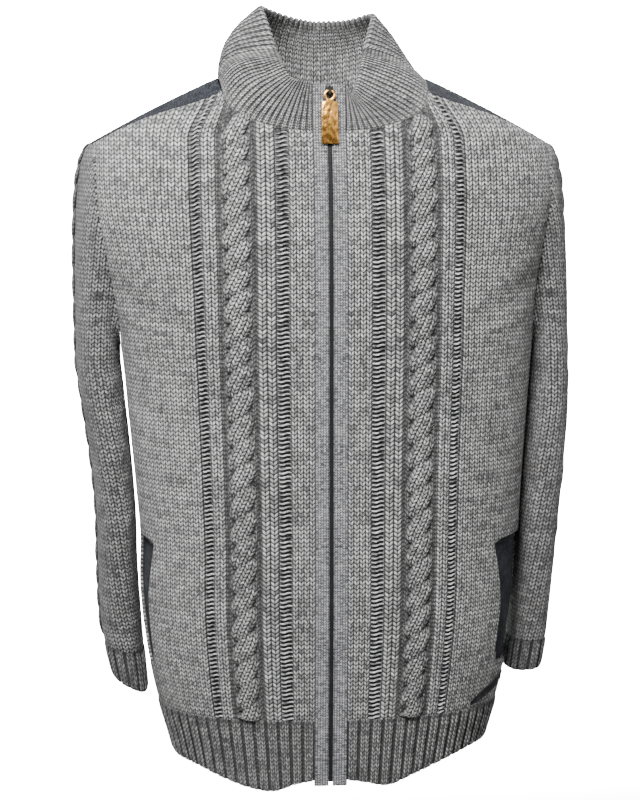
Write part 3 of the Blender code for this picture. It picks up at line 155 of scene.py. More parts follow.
# Pocket mouth: height, and share of the half-width that the front still covers.
MOUTH_COLUMNS = ("height", "left", "right")
MOUTH = (
    (-0.612, 0.965, 0.893),
    (-0.575, 0.962, 0.883),
    (-0.533, 0.955, 0.869),
    (-0.505, 0.943, 0.848),
    (-0.482, 0.930, 0.825),
)
MOUTH_RUNOUT = 0.012         # over this height the mouth's ends close to the side seam
CABLE_FROM = 0.0789
CABLE_TO = 0.1081
# Collar top edge: angle round the neck, distance to the side, depth and height.
COLLAR_LEFT = (
    (8.9, 0.0172, -0.1040, -0.0085),
    (30, 0.0300, -0.1020, -0.0060),
    (45, 0.0380, -0.0970, -0.0035),
    (60, 0.0435, -0.0870, 0.0035),
    (75, 0.0470, -0.0730, 0.0138),
    (90, 0.0515, -0.0550, 0.0264),
    (105, 0.0555, -0.0350, 0.0410),
    (120, 0.0600, -0.0100, 0.0595),
    (135, 0.0625, 0.0200, 0.0730),
    (150, 0.0480, 0.0480, 0.0690),
    (165, 0.0220, 0.0660, 0.0615),
    (180, 0.0000, 0.0720, 0.0575),
)
COLLAR_RIGHT = (
    (8.9, 0.0172, -0.1040, -0.0115),
    (20, 0.0225, -0.1030, -0.0185),
    (35, 0.0275, -0.0985, -0.0175),
    (50, 0.0310, -0.0900, -0.0105),
    (65, 0.0350, -0.0760, 0.0000),
    (80, 0.0405, -0.0580, 0.0160),
    (95, 0.0470, -0.0380, 0.0330),
    (110, 0.0530, -0.0150, 0.0480),
    (125, 0.0595, 0.0120, 0.0620),
    (140, 0.0575, 0.0400, 0.0655),
    (155, 0.0370, 0.0590, 0.0600),
    (180, 0.0000, 0.0720, 0.0575),
)
# How far the collar swells outwards half-way up, by the angle round the neck.
COLLAR_SWELL_COLUMNS = ("angle", "left", "right")
COLLAR_SWELL = (
    (8.9, 0.000, 0.000),
    (45, 0.003, 0.000),
    (75, 0.009, 0.003),
    (100, 0.017, 0.008),
    (125, 0.021, 0.011),
    (150, 0.013, 0.010),
    (180, 0.006, 0.006),
)
COLLAR_LIFT = 0.0009         # clear of the neck edges that it is sewn to
# Sleeves below the armhole: height, outer and inner side, front and back, and how much
# lower the inner side hangs.
SLEEVE_COLUMNS = ("height", "outer", "inner", "front", "back", "slant")
SLEEVE_LEFT = (
    (-0.640, 0.2255, 0.1860, -0.030, 0.066, 0.020),
    (-0.610, 0.2325, 0.1895, -0.034, 0.070, 0.009),
    (-0.580, 0.2365, 0.1930, -0.038, 0.075, 0.005),
    (-0.520, 0.2390, 0.2000, -0.043, 0.085, 0.002),
    (-0.460, 0.2400, 0.2020, -0.047, 0.095, 0.001),
    (-0.400, 0.2455, 0.2065, -0.050, 0.103, 0.001),
    (-0.340, 0.2540, 0.2125, -0.051, 0.110, 0.000),
    (-0.300, 0.2595, 0.2165, -0.050, 0.112, 0.000),
)
SLEEVE_RIGHT = (
    (-0.648, 0.2410, 0.2000, -0.031, 0.066, 0.002),
    (-0.610, 0.2475, 0.2050, -0.034, 0.070, 0.002),
    (-0.580, 0.2500, 0.2085, -0.038, 0.075, 0.001),
    (-0.520, 0.2550, 0.2150, -0.043, 0.085, 0.000),
    (-0.460, 0.2600, 0.2170, -0.047, 0.095, 0.000),
    (-0.400, 0.2650, 0.2200, -0.050, 0.103, 0.000),
    (-0.340, 0.2680, 0.2245, -0.051, 0.110, 0.000),
    (-0.300, 0.2665, 0.2275, -0.050, 0.112, 0.000),
)
SLEEVES = {-1: SLEEVE_LEFT, 1: SLEEVE_RIGHT}
SLEEVE_POWER = 2.6
SLEEVE_TOP = -0.300
CUFF_TOP = -0.603
CUFF_END = {-1: -0.638, 1: -0.636}
CAP_LENGTH = 0.240           # down the outer line from the shoulder to SLEEVE_TOP
SLEEVE_CABLE_HALF = 0.015
UNDERARM_TURN = 0.038        # the underarm seam runs down nearer the front
ZIP_TOP = -0.0125
ZIP_END = -0.7300
PULL_AXIS_HEIGHT = -0.0155
PULL_WIDTH = 0.0175
PULL_LENGTH = 0.0445
PULL_THICKNESS = 0.0024


@lru_cache(maxsize=None)
def slopes_of(xs, ys):
    return np.gradient(np.array(ys, float), np.array(xs, float))


def through(xs, ys, x):
    """Value at x of a smooth curve through a table's rows."""
    xs = tuple(xs)
    ys = tuple(ys)
    x = min(max(x, xs[0]), xs[-1])
    i = min(max(int(np.searchsorted(xs, x, side="right")) - 1, 0), len(xs) - 2)
    width = xs[i + 1] - xs[i]
    t = (x - xs[i]) / width
    slopes = slopes_of(xs, ys)
    rise = (2 * t ** 3 - 3 * t ** 2 + 1) * ys[i] + (3 * t ** 2 - 2 * t ** 3) * ys[i + 1]
    bend = (t ** 3 - 2 * t ** 2 + t) * slopes[i] + (t ** 3 - t ** 2) * slopes[i + 1]
    return rise + width * bend


def table_value(table, column, key):
    return through([row[0] for row in table], [row[column] for row in table], key)


def body_size(height, name):
    return table_value(BODY, BODY_COLUMNS.index(name), height)


def half_width(side, height):
    return body_size(height, "right" if side > 0 else "left")


def smooth_step(t):
    t = min(max(t, 0.0), 1.0)
    return t * t * (3 - 2 * t)


def rounded(angle, power):
    """Both parts of a unit rounded corner, by the direction from its middle."""
    across = abs(math.sin(angle))
    along = abs(math.cos(angle))
    radius = (across ** power + along ** power) ** (-1 / power)
    return radius * across, radius * along


def rest_of(share, power):
    return max(1 - min(share, 1.0) ** power, 0.0) ** (1 / power)


def shoulder_height(x):
    """Height of the shoulder line at a distance from the neck's middle."""
    beyond = x - NECK_HALF
    if beyond < 0:
        return -0.002 + 0.012 * (1 - (x / NECK_HALF) ** 2)
    return -0.002 - 0.435 * beyond - 0.5 * beyond ** 2


def surface_depth(side, face, x, z):
    """Y of the body's front or back surface at a distance from the middle and a height."""
    across = rest_of(x / half_width(side, z), SECTION_POWER)
    sign = -1 if face == "front" else 1
    if z <= CHEST:
        return SIDE_Y + sign * body_size(z, face) * across
    reach = sign * (SIDE_Y - RIDGE_Y) + body_size(CHEST, face) * across
    climb = (z - CHEST) / (shoulder_height(x) - CHEST)
    return RIDGE_Y + sign * reach * rest_of(climb, DOME_POWER)


@lru_cache(maxsize=None)
def section(side, face, z):
    """Shares of the way round from the middle to the side, and the distances there."""
    width = half_width(side, z)
    depth = body_size(z, face)
    start = BAND_EDGE if face == "front" else 0.0
    first = math.atan2(start / width, rest_of(start / width, SECTION_POWER))
    points = []
    for angle in np.linspace(first, math.pi / 2, 121):
        across, along = rounded(angle, SECTION_POWER)
        points.append((width * across, depth * along))
    points = np.array(points)
    run = np.concatenate(([0.0], np.cumsum(np.hypot(*np.diff(points, axis=0).T))))
    return run / run[-1], points[:, 0]


def distance_at(side, face, z, share):
    shares, distances = section(side, face, z)
    return float(np.interp(share, shares, distances))


def share_at(side, face, z, distance):
    shares, distances = section(side, face, z)
    return float(np.interp(distance, distances, shares))


def flare(side, z, x):
    """The shoulders are wider than the chest, and only the outer columns lean out."""
    chest_width = half_width(side, CHEST)
    return (half_width(side, z) - chest_width) * (x / chest_width) ** 4


def drift(x, z):
    """Near the neck the outer pattern columns lean in towards it."""
    return 0.022 * smooth_step((z + 0.065) / 0.055) * math.exp(-((x - 0.1348) / 0.035) ** 2)


def body_point(side, face, share, level):
    """Point of the body: share of the way to the side, and level up its knit column.

    A share above 1 carries on past the side seam onto the other face.
    """
    if share > 1:
        face = "back" if face == "front" else "front"
        share = 2 - share
    if level <= CHEST:
        x = distance_at(side, face, level, share)
        z = level
    else:
        climb, _ = rounded((level - CHEST) / DOME, DOME_POWER)
        chest_x = distance_at(side, face, CHEST, share)
        top_x = chest_x + flare(side, 0.0, chest_x)
        z = CHEST + (shoulder_height(top_x) - CHEST) * climb
        x = chest_x + flare(side, z, chest_x)
        if face == "front":
            x -= drift(chest_x, z)
    return Vector((side * x, surface_depth(side, face, x, z), z))


def level_of(angle):
    return CHEST + DOME * math.radians(angle)


def closing_value(side, face, spot):
    """Zero on the upper body's surface, and more outside it."""
    sign = -1 if face == "front" else 1
    x = abs(spot.x)
    across = rest_of(x / half_width(side, spot.z), SECTION_POWER)
    reach = sign * (SIDE_Y - RIDGE_Y) + body_size(CHEST, face) * across
    climb = (spot.z - CHEST) / (shoulder_height(x) - CHEST)
    return (abs(spot.y - RIDGE_Y) / reach) ** DOME_POWER + climb ** DOME_POWER


def closing_normal(side, face, spot):
    """Outward direction of the upper body's surface at a point of it."""
    step = 0.0005
    slope = []
    for axis in ((step, 0, 0), (0, step, 0), (0, 0, step)):
        shift = Vector(axis)
        ahead = closing_value(side, face, spot + shift)
        slope.append(ahead - closing_value(side, face, spot - shift))
    return Vector(slope).normalized()


def arm_share(side, face, level):
    """Share of the way to the side at which the armhole cuts a panel."""
    angle = math.degrees(max(level - CHEST, 0.0) / DOME)
    of_chest = through([row[0] for row in ARMHOLE], [row[1] for row in ARMHOLE], angle)
    return share_at(side, face, CHEST, of_chest * half_width(side, CHEST))


def mouth_share(side, level):
    column = MOUTH_COLUMNS.index("right" if side > 0 else "left")
    ratio = table_value(MOUTH, column, level)
    return share_at(side, "front", level, ratio * half_width(side, level))


def front_end(side, level):
    """Where a front ends: at the side seam, the pocket mouth or the armhole."""
    if level > CHEST:
        return arm_share(side, "front", level)
    if MOUTH[0][0] <= level <= MOUTH[-1][0]:
        return mouth_share(side, level)
    return 1.0


def back_end(side, level):
    return arm_share(side, "back", level) if level > CHEST else 1.0


def neck_height(x):
    return through([row[0] for row in NECK_FRONT], [row[1] for row in NECK_FRONT], x)


def back_neck_point(side, angle):
    """Back neck seam: 90 at the shoulder and 180 at the middle of the back."""
    x = max(NECK_HALF * math.sin(math.radians(angle)), 0.0)
    y = RIDGE_Y - (NECK_BACK_DEPTH - RIDGE_Y) * math.cos(math.radians(angle))
    across = rest_of(x / half_width(side, 0.0), SECTION_POWER)
    reach = SIDE_Y - RIDGE_Y + body_size(CHEST, "back") * across
    climb = rest_of((y - RIDGE_Y) / reach, DOME_POWER)
    return Vector((side * x, y, CHEST + (shoulder_height(x) - CHEST) * climb))


def edge_angle(side, chest_x):
    """Angle at which a front's column meets the yoke."""
    tip = ARMHOLE[-1][1] * half_width(side, CHEST)
    t = (chest_x - 0.13) / (tip - 0.13)
    return EDGE_AT_NECK + (EDGE_AT_TIP - EDGE_AT_NECK) * smooth_step(t)


def front_top(side, share):
    """Level at which a front's column reaches the neck seam or the yoke."""
    chest_x = distance_at(side, "front", CHEST, share)
    low = CHEST
    high = level_of(edge_angle(side, chest_x))
    end = body_point(side, "front", share, high)
    if abs(end.x) >= NECK_HALF or end.z <= neck_height(abs(end.x)):
        return high
    for _ in range(30):
        middle = (low + high) / 2
        spot = body_point(side, "front", share, middle)
        if spot.z < neck_height(abs(spot.x)):
            low = middle
        else:
            high = middle
    return low


def zip_runs(first, second, lead=1):
    """Triangles between two runs of points, each a list of (position, vertex).

    Where both runs have a point at the same position, lead says which steps first, and
    so which way the triangles' shared edges lean.
    """
    faces = []
    i = 0
    j = 0
    while i < len(first) - 1 or j < len(second) - 1:
        if j == len(second) - 1:
            step_first = True
        elif i == len(first) - 1:
            step_first = False
        else:
            step_first = first[i + 1][0] <= second[j + 1][0] + lead * 1e-6
        if step_first:
            faces.append((first[i][1], second[j][1], first[i + 1][1]))
            i += 1
        else:
            faces.append((first[i][1], second[j][1], second[j + 1][1]))
            j += 1
    return faces


def spread(low, high, count):
    return [low + (high - low) * i / (count - 1) for i in range(count)]


def corner_share(side):
    """Share of the column that meets the yoke at the neck seam."""
    low = 0.0
    high = 1.0
    for _ in range(40):
        middle = (low + high) / 2
        chest_x = distance_at(side, "front", CHEST, middle)
        if front_top(side, middle) < level_of(edge_angle(side, chest_x)) - 1e-7:
            low = middle
        else:
            high = middle
    return high


YOKE_NECK_ANGLES = (102, 117, 133, 149, 165)
YOKE_STITCH = (0.0030, 0.0024)  # width and height of a stitch


@lru_cache(maxsize=None)
def yoke_edge_height(side):
    """The yoke's lower edge is level, at the height where the armhole meets it."""
    level = level_of(YOKE_BACK_TIP)
    return body_point(side, "back", arm_share(side, "back", level), level).z


@lru_cache(maxsize=None)
def back_level(side, share, height):
    low = CHEST
    high = level_of(90)
    for _ in range(30):
        middle = (low + high) / 2
        if body_point(side, "back", share, middle).z < height:
            low = middle
        else:
            high = middle
    return low


def fall_to_edge(x, top, low, level):
    """Height on a straight back column of the yoke, from its top to its lower edge."""
    full = shoulder_height(x) - CHEST
    first = math.asin(min((top - CHEST) / full, 1.0))
    last = math.asin((low - CHEST) / full)
    part = (level_of(90) - level) / (level_of(90) - level_of(YOKE_BACK_TIP))
    return CHEST + full * math.sin(first + (last - first) * part)


def hem_height(side, face, share):
    """Lower edge: higher at the sides, with a soft dip on each side of the zip."""
    column = "back" if face == "back" else "right" if side > 0 else "left"
    return table_value(HEM, HEM_COLUMNS.index(column), share)


def rib_count(side, face):
    depth = body_size(RIB_TOP, face)
    girth = half_width(side, RIB_TOP) * 0.62 + depth * 0.95
    return round(girth / RIB_PITCH)


@lru_cache(maxsize=None)
def sleeve_section(side, height):
    """The sleeve's cross-section, from its outermost point towards the front."""
    rows = SLEEVES[side]
    size = {}
    for column, name in enumerate(SLEEVE_COLUMNS):
        size[name] = table_value(rows, column, height)
    middle = ((size["outer"] + size["inner"]) / 2, (size["front"] + size["back"]) / 2)
    half_x = (size["outer"] - size["inner"]) / 2
    half_y = (size["back"] - size["front"]) / 2
    points = []
    for angle in np.linspace(0, 2 * math.pi, 241):
        along, across = rounded(angle, SLEEVE_POWER)
        x = middle[0] + half_x * across * (1 if math.cos(angle) >= 0 else -1)
        y = middle[1] - half_y * along * (1 if math.sin(angle) >= 0 else -1)
        points.append((x, y))
    points = np.array(points)
    run = np.concatenate(([0.0], np.cumsum(np.hypot(*np.diff(points, axis=0).T))))
    return run, points, size


def sleeve_spot(side, height, place):
    """Point on a sleeve below the cap, with place in metres from its outer line."""
    run, points, size = sleeve_section(side, height)
    place = place % run[-1]
    x = float(np.interp(place, run, points[:, 0]))
    y = float(np.interp(place, run, points[:, 1]))
    drop = size["slant"] * (size["outer"] - x) / (size["outer"] - size["inner"])
    return Vector((side * x, y, height - drop))


def sleeve_places(ring):
    """Distances round the armhole of its points, and its length."""
    run = [0.0]
    for a, b in zip(ring, ring[1:] + ring[:1]):
        run.append(run[-1] + (b - a).length)
    return run[:-1], run[-1]


def place_on_sleeve(side, height, place, length):
    """Carries a place on the armhole down the sleeve; the cable keeps its width."""
    girth = sleeve_section(side, height)[0][-1]
    signed = place if place <= length / 2 else place - length
    near = min(abs(signed), SLEEVE_CABLE_HALF)
    far = max(abs(signed) - SLEEVE_CABLE_HALF, 0.0)
    scale = (girth / 2 - SLEEVE_CABLE_HALF) / (length / 2 - SLEEVE_CABLE_HALF)
    turn = UNDERARM_TURN * math.sin(math.pi * signed / length) ** 2
    return math.copysign(near + far * scale, signed) - turn


def sleeve_point(side, start, place, length, down):
    """Point of a sleeve column: start on the armhole, down in metres below it."""
    if down >= CAP_LENGTH:
        height = SLEEVE_TOP - (down - CAP_LENGTH)
        return sleeve_spot(side, height, place_on_sleeve(side, height, place, length))
    end = sleeve_spot(side, SLEEVE_TOP, place_on_sleeve(side, SLEEVE_TOP, place, length))
    reach = (end - start).length
    t = down / CAP_LENGTH
    leave = Vector((side, 0.0, -0.25)) * max(reach * 0.30, 0.008)
    arrive = Vector((0.0, 0.0, -1.0)) * reach * 1.0
    return (
        start * (2 * t ** 3 - 3 * t ** 2 + 1)
        + leave * (t ** 3 - 2 * t ** 2 + t)
        + end * (3 * t ** 2 - 2 * t ** 3)
        + arrive * (t ** 3 - t ** 2)
    )


def sleeve_length():
    return CAP_LENGTH + SLEEVE_TOP - CUFF_TOP


def collar_base(side, angle):
    """Neck seam: angle 0 at the zip and 180 at the middle of the back."""
    if angle > 90:
        return back_neck_point(side, angle)
    x = max(NECK_HALF * math.sin(math.radians(angle)), BAND_EDGE)
    return Vector((side * x, surface_depth(side, "front", x, neck_height(x)), neck_height(x)))


def collar_top(side, angle):
    rows = COLLAR_RIGHT if side > 0 else COLLAR_LEFT
    x, y, z = (table_value(rows, column, angle) for column in (1, 2, 3))
    return Vector((side * x, y, z))


COLLAR_START = math.degrees(math.asin(BAND_EDGE / NECK_HALF))


def collar_place(turn):
    """Side and angle at a place round the collar, from 0 to 2, left to right."""
    side = -1 if turn < 1 else 1
    part = turn if turn < 1 else 2 - turn
    return side, COLLAR_START + (180 - COLLAR_START) * part


def collar_point(turn, up):
    side, angle = collar_place(turn)
    base = collar_base(side, angle)
    top = collar_top(side, angle)
    base = base + (top - base).normalized() * COLLAR_LIFT
    out = Vector((base.x, base.y, 0.0)).normalized()
    column = COLLAR_SWELL_COLUMNS.index("right" if side > 0 else "left")
    swell = table_value(COLLAR_SWELL, column, angle) * math.sin(math.pi * up)
    return base.lerp(top, up) + (out + Vector((0, 0, 0.5))) * swell


def seam_inward(side, angle):
    """Direction along the body's cloth, square to the neck seam, into the neck opening."""
    spot = collar_base(side, angle)
    out = closing_normal(side, "front" if angle <= 90 else "back", spot)
    along = collar_base(side, min(angle + 2, 180))
    along = along - collar_base(side, max(angle - 2, COLLAR_START))
    inward = out.cross(along.normalized())
    towards = collar_top(side, angle) - spot
    return inward.normalized() * (1 if inward.dot(towards) > 0 else -1)


def collar_pair(turn, up):
    """Outside and inside of the collar, at a place round it and a share of its height."""
    step = 0.008
    low_u, high_u = max(turn - step, 0.0), min(turn + step, 2.0)
    along_u = collar_point(high_u, up) - collar_point(low_u, up)
    along_v = collar_point(turn, min(up + 0.02, 1.0)) - collar_point(turn, max(up - 0.02, 0.0))
    out = along_v.cross(along_u).normalized()
    base = collar_point(turn, up)
    if out.dot(base - Vector((0, 0, base.z))) < 0:
        out = -out
    inner = base - out * COLLAR_WALL
    side, angle = collar_place(turn)
    inward = seam_inward(side, angle)
    climb = along_v.normalized()
    lift = max(COLLAR_WALL * out.dot(inward) / max(climb.dot(inward), 0.3), 0.0)
    return base, inner + climb * lift * (1 - up) ** 2


def front_line(z):
    """Depth of the cloth at the middle of the front, from the hem to the collar's top."""
    if z <= neck_height(0.0):
        return surface_depth(1, "front", 0.009, z)
    low = surface_depth(1, "front", 0.009, neck_height(0.0))
    top = COLLAR_RIGHT[0][2]
    t = (z - neck_height(0.0)) / (COLLAR_RIGHT[0][3] - neck_height(0.0))
    return low + (top - low) * min(t, 1.2)


def slider_frame():
    """Place and tilt of the slider: flat on the bands, level with the pull's hinge."""
    reach = 0.010
    low = front_line(PULL_AXIS_HEIGHT - reach)
    high = front_line(PULL_AXIS_HEIGHT + reach / 2)
    tilt = math.atan2(high - low, reach * 1.5)
    face = min(front_line(PULL_AXIS_HEIGHT), (low + 2 * high) / 3) - 0.0012 - GAP
    return Matrix.Translation((0, face, PULL_AXIS_HEIGHT)) @ Matrix.Rotation(-tilt, 4, "X")


def pull_axis():
    return slider_frame() @ Vector((0.0, -0.0022 - 0.0019, 0.0))


def pull_lean():
    """Angle at which the hanging pull rests with its lower end on the cloth."""
    axis = pull_axis()
    low = axis.z - PULL_LENGTH - 0.0105
    cloth = front_line(low) - 0.0012 - 0.0004
    return math.atan2((axis.y + PULL_THICKNESS / 2) - cloth, axis.z - low)


# ---------------------------------------------------------------- sizes of the knitting
KNIT_PITCH = 0.0063          # width of a knitted column on the plain cloth
KNIT_SWELL = 0.0005          # how far a column swells between its gaps
PLAIN_SWELL = 0.00025        # and on the plain cloth
LADDER_DEPTH = 0.0020        # how far the ladders lie behind the plain knit
PURL_DEPTH = 0.0012          # and the purl columns beside a cable
RIB_STAND = 0.0010           # the pairs of columns beside the ladders stand up
CABLE_HEIGHT = 0.0052        # from a strand's underside to its crown
CABLE_HALF = (CABLE_TO - CABLE_FROM) / 2
STRAND_REACH = 0.78          # of the way to the next crossing, on either side
RIB_STAND_HEM = 0.0017       # height of the ribs of the hem and the cuffs
RIB_SINK = 0.0013            # depth of the grooves between them
RIB_GROOVE = 0.12            # half the width of the groove, as a part of the rib's pitch
COLLAR_STAND = 0.0011        # height of the collar's ribs
COLLAR_SINK = 0.0008
COLLAR_GROOVE = 0.15         # half the width of its grooves, as a part of the pitch
COLLAR_INSIDE_PITCH = 0.0036
BAND_PITCH = 0.0027          # the fine knit of the bands, turned on its side
SLEEVE_FULLNESS = 0.0045     # a sleeve swells a little towards the body
SEAM_FADE = 0.003            # over this width stitches flatten out at a seam
SEAM_DIP = 0.0005            # cloth is drawn in where two pieces are sewn together
DIP_WIDTH = 0.0035
WELT_STAND = 0.0007          # the pocket mouth's edge is knitted a little thicker
WELT_HALF = 0.0018
WELT_MIDDLE = 0.0025         # from the edge
FACING_BACK_SHARE = 0.955    # a facing goes on round the side seam to here
SEAM_LAP = 0.0003            # and its edges are pressed into each other

# A front from its band outwards: what is knitted, where it starts and ends at the chest,
# and the number of columns.
FRONT_BANDS = (
    ("knit", BAND_EDGE, 0.0413, 4),
    ("ladder", 0.0413, 0.0558, 2),
    ("rib", 0.0558, 0.0742, 2),
    ("purl", 0.0742, CABLE_FROM, 1),
    ("cable", CABLE_FROM, CABLE_TO, 4),
    ("purl", CABLE_TO, 0.1125, 1),
    ("rib", 0.1125, 0.1255, 2),
    ("ladder", 0.1255, 0.1360, 1),
)
SAMPLES = {"knit": 5, "ladder": 5, "rib": 5, "purl": 4, "cable": 3}
LADDERS = tuple((start, end) for kind, start, end, _ in FRONT_BANDS if kind == "ladder")
SUNK = {"ladder": LADDER_DEPTH, "purl": PURL_DEPTH, "cable": PURL_DEPTH}
SAMPLES_EACH = 3             # lines to a column of plain knit

# Soft creases, placed one by one: piece, the two ends of the fold, its half width and depth.
CREASES = (
    ("front_left", (-0.215, -0.065, -0.215), (-0.150, -0.118, -0.262), 0.010, 0.0016),
    ("front_left", (-0.196, -0.060, -0.330), (-0.150, -0.105, -0.352), 0.012, 0.0010),
    ("front_left", (-0.170, -0.085, -0.560), (-0.142, -0.112, -0.640), 0.010, 0.0012),
    ("front_right", (0.220, -0.062, -0.205), (0.160, -0.116, -0.246), 0.011, 0.0015),
    ("front_right", (0.200, -0.070, -0.400), (0.160, -0.108, -0.372), 0.012, 0.0009),
    ("front_right", (0.150, -0.112, -0.500), (0.186, -0.085, -0.610), 0.009, 0.0011),
    ("back", (-0.215, 0.060, -0.210), (-0.120, 0.110, -0.262), 0.012, 0.0018),
    ("back", (0.220, 0.055, -0.225), (0.135, 0.108, -0.290), 0.011, 0.0020),
    ("back", (-0.160, 0.090, -0.430), (-0.060, 0.120, -0.462), 0.014, 0.0016),
    ("back", (0.060, 0.120, -0.480), (0.150, 0.095, -0.440), 0.012, 0.0014),
    ("back", (-0.110, 0.110, -0.585), (-0.020, 0.122, -0.560), 0.013, 0.0013),
    ("back", (0.030, 0.122, -0.610), (0.130, 0.100, -0.570), 0.012, 0.0011),
    ("sleeve_left", (-0.252, -0.010, -0.300), (-0.222, -0.045, -0.345), 0.009, 0.0022),
    ("sleeve_left", (-0.245, -0.030, -0.385), (-0.212, -0.038, -0.412), 0.008, 0.0020),
    ("sleeve_left", (-0.238, -0.025, -0.470), (-0.215, -0.046, -0.452), 0.008, 0.0014),
    ("sleeve_left", (-0.255, 0.080, -0.330), (-0.222, 0.108, -0.372), 0.009, 0.0020),
    ("sleeve_left", (-0.236, 0.070, -0.520), (-0.212, 0.082, -0.545), 0.008, 0.0016),
    ("sleeve_left", (-0.232, -0.020, -0.575), (-0.205, -0.040, -0.590), 0.006, 0.0012),
    ("sleeve_right", (0.262, -0.012, -0.290), (0.230, -0.046, -0.322), 0.009, 0.0020),
    ("sleeve_right", (0.258, -0.028, -0.400), (0.226, -0.040, -0.432), 0.009, 0.0018),
    ("sleeve_right", (0.254, -0.025, -0.500), (0.224, -0.042, -0.478), 0.008, 0.0015),
    ("sleeve_right", (0.262, 0.085, -0.350), (0.232, 0.108, -0.394), 0.009, 0.0021),
    ("sleeve_right", (0.255, 0.065, -0.470), (0.225, 0.088, -0.505), 0.008, 0.0014),
)


# ---------------------------------------------------------------- dense surfaces
def stretched(grid):
    """The grid with one more row on every side, carried straight on."""
    grid = np.concatenate((2 * grid[:1] - grid[1:2], grid, 2 * grid[-1:] - grid[-2:-1]))
    first = 2 * grid[:, :1] - grid[:, 1:2]
    last = 2 * grid[:, -1:] - grid[:, -2:-1]
    return np.concatenate((first, grid, last), axis=1)


def blend_weights(t):
    """Weights of four neighbouring points on a smooth curve through the middle two."""
    return (
        -0.5 * t + t * t - 0.5 * t ** 3,
        1 - 2.5 * t * t + 1.5 * t ** 3,
        0.5 * t + 2 * t * t - 1.5 * t ** 3,
        -0.5 * t * t + 0.5 * t ** 3,
    )


class Surface:
    """A surface known on an even grid of two numbers and read anywhere between."""

    def __init__(self, grid, across=(0.0, 1.0), up=(0.0, 1.0)):
        self.size = np.array(grid).shape[:2]
        self.grid = stretched(np.array(grid, float))
        self.across = across
        self.up = up

    def point(self, u, v):
        u, v = np.broadcast_arrays(np.asarray(u, float), np.asarray(v, float))
        places = []
        for value, span, count in ((u, self.across, self.size[0]), (v, self.up, self.size[1])):
            index = (value - span[0]) / (span[1] - span[0]) * (count - 1)
            index = np.clip(index, 0, count - 1)
            base = np.minimum(np.floor(index).astype(int), count - 2)
            places.append((base, blend_weights(index - base)))
        (base_u, weight_u), (base_v, weight_v) = places
        total = 0.0
        for a in range(4):
            for b in range(4):
                part = (weight_u[a] * weight_v[b])[..., None]
                total = total + part * self.grid[base_u + a, base_v + b]
        return total

    def frame(self, u, v, sign):
        """Points, outward directions and directions along the first number."""
        step_u = (self.across[1] - self.across[0]) * 0.002
        step_v = (self.up[1] - self.up[0]) * 0.002
        along_u = self.point(u + step_u, v) - self.point(u - step_u, v)
        along_v = self.point(u, v + step_v) - self.point(u, v - step_v)
        out = unit(np.cross(along_u, along_v)) * sign
        return self.point(u, v), out, unit(along_u)


def unit(vectors):
    length = np.linalg.norm(vectors, axis=-1, keepdims=True)
    return vectors / np.maximum(length, 1e-12)


def grid_directions(points, middle):
    """Outward directions of a grid of points, pointing away from a middle point."""
    out = unit(np.cross(np.gradient(points, axis=0), np.gradient(points, axis=1)))
    away = points - np.array(middle)
    facing = np.sign(np.median(np.sum(out * away, axis=-1)))
    return out * facing


@lru_cache(maxsize=None)
def body_surface(side, face):
    shares = np.linspace(0.0, 1.0, 81)
    levels = np.linspace(-0.745, level_of(90), 116)
    grid = []
    for share in shares:
        grid.append([tuple(body_point(side, face, float(share), float(level))) for level in levels])
    return Surface(grid, (0.0, 1.0), (levels[0], levels[-1]))


def body_frame(side, face, share, level):
    sign = side if face == "front" else -side
    return body_surface(side, face).frame(share, level, sign)


@lru_cache(maxsize=None)
def girth_at_chest(side, face):
    points = body_surface(side, face).point(np.linspace(0, 1, 200), CHEST)
    return float(np.linalg.norm(np.diff(points, axis=0), axis=1).sum())


def rows_at(level):
    """Knitted rows up from the hem rib, for an array of levels."""
    level = np.asarray(level, float)
    straight = (np.minimum(level, CHEST) - RIB_TOP) / ROW
    height = np.maximum(ROW - ROW_SHRINK * np.maximum(level - CHEST, 0.0), ROW_TOP * 0.8)
    return straight + np.log(ROW / height) / ROW_SHRINK


def level_at_rows(rows):
    """Level of a number of rows up from the hem rib."""
    rows = np.asarray(rows, float)
    chest_rows = (CHEST - RIB_TOP) / ROW
    climb = 1 - np.exp(-ROW_SHRINK * np.maximum(rows - chest_rows, 0.0))
    above = CHEST + ROW / ROW_SHRINK * climb
    return np.where(rows <= chest_rows, RIB_TOP + rows * ROW, above)


def crease_depth(piece, points):
    """How far the cloth's folds lower or raise each point."""
    total = np.zeros(points.shape[:-1])
    for name, start, end, width, depth in CREASES:
        if name != piece:
            continue
        start = np.array(start)
        line = np.array(end) - start
        place = np.sum((points - start) * line, axis=-1) / np.dot(line, line)
        near = start + np.clip(place, 0, 1)[..., None] * line
        away = np.linalg.norm(points - near, axis=-1) / width
        ends = np.exp(-(np.maximum(np.abs(place - 0.5) - 0.25, 0) / 0.3) ** 2)
        total -= depth * np.exp(-away ** 2) * ends
        total += depth * 0.6 * np.exp(-((away - 2.0) / 0.8) ** 2) * ends
    return total


def near_edge(values, width):
    """1 at an edge, falling to 0 over a width."""
    return np.exp(-(np.maximum(values, 0.0) / width) ** 2)


def every(count, step):
    chosen = list(range(0, count, step))
    return chosen if chosen[-1] == count - 1 else chosen + [count - 1]


# ---------------------------------------------------------------- meshes
CLOTH_EDGE = 50              # degrees: sharper edges than this stay sharp
ROUND_EDGE = 60
METAL_EDGE = 35
WELD_WITHIN = 2e-6           # points this close are one point


def linked(name, data, finish=None):
    """An object in the scene that holds the data, with its finish."""
    obj = bpy.data.objects.new(name, data)
    bpy.context.collection.objects.link(obj)
    if finish:
        data.materials.append(finish)
    return obj


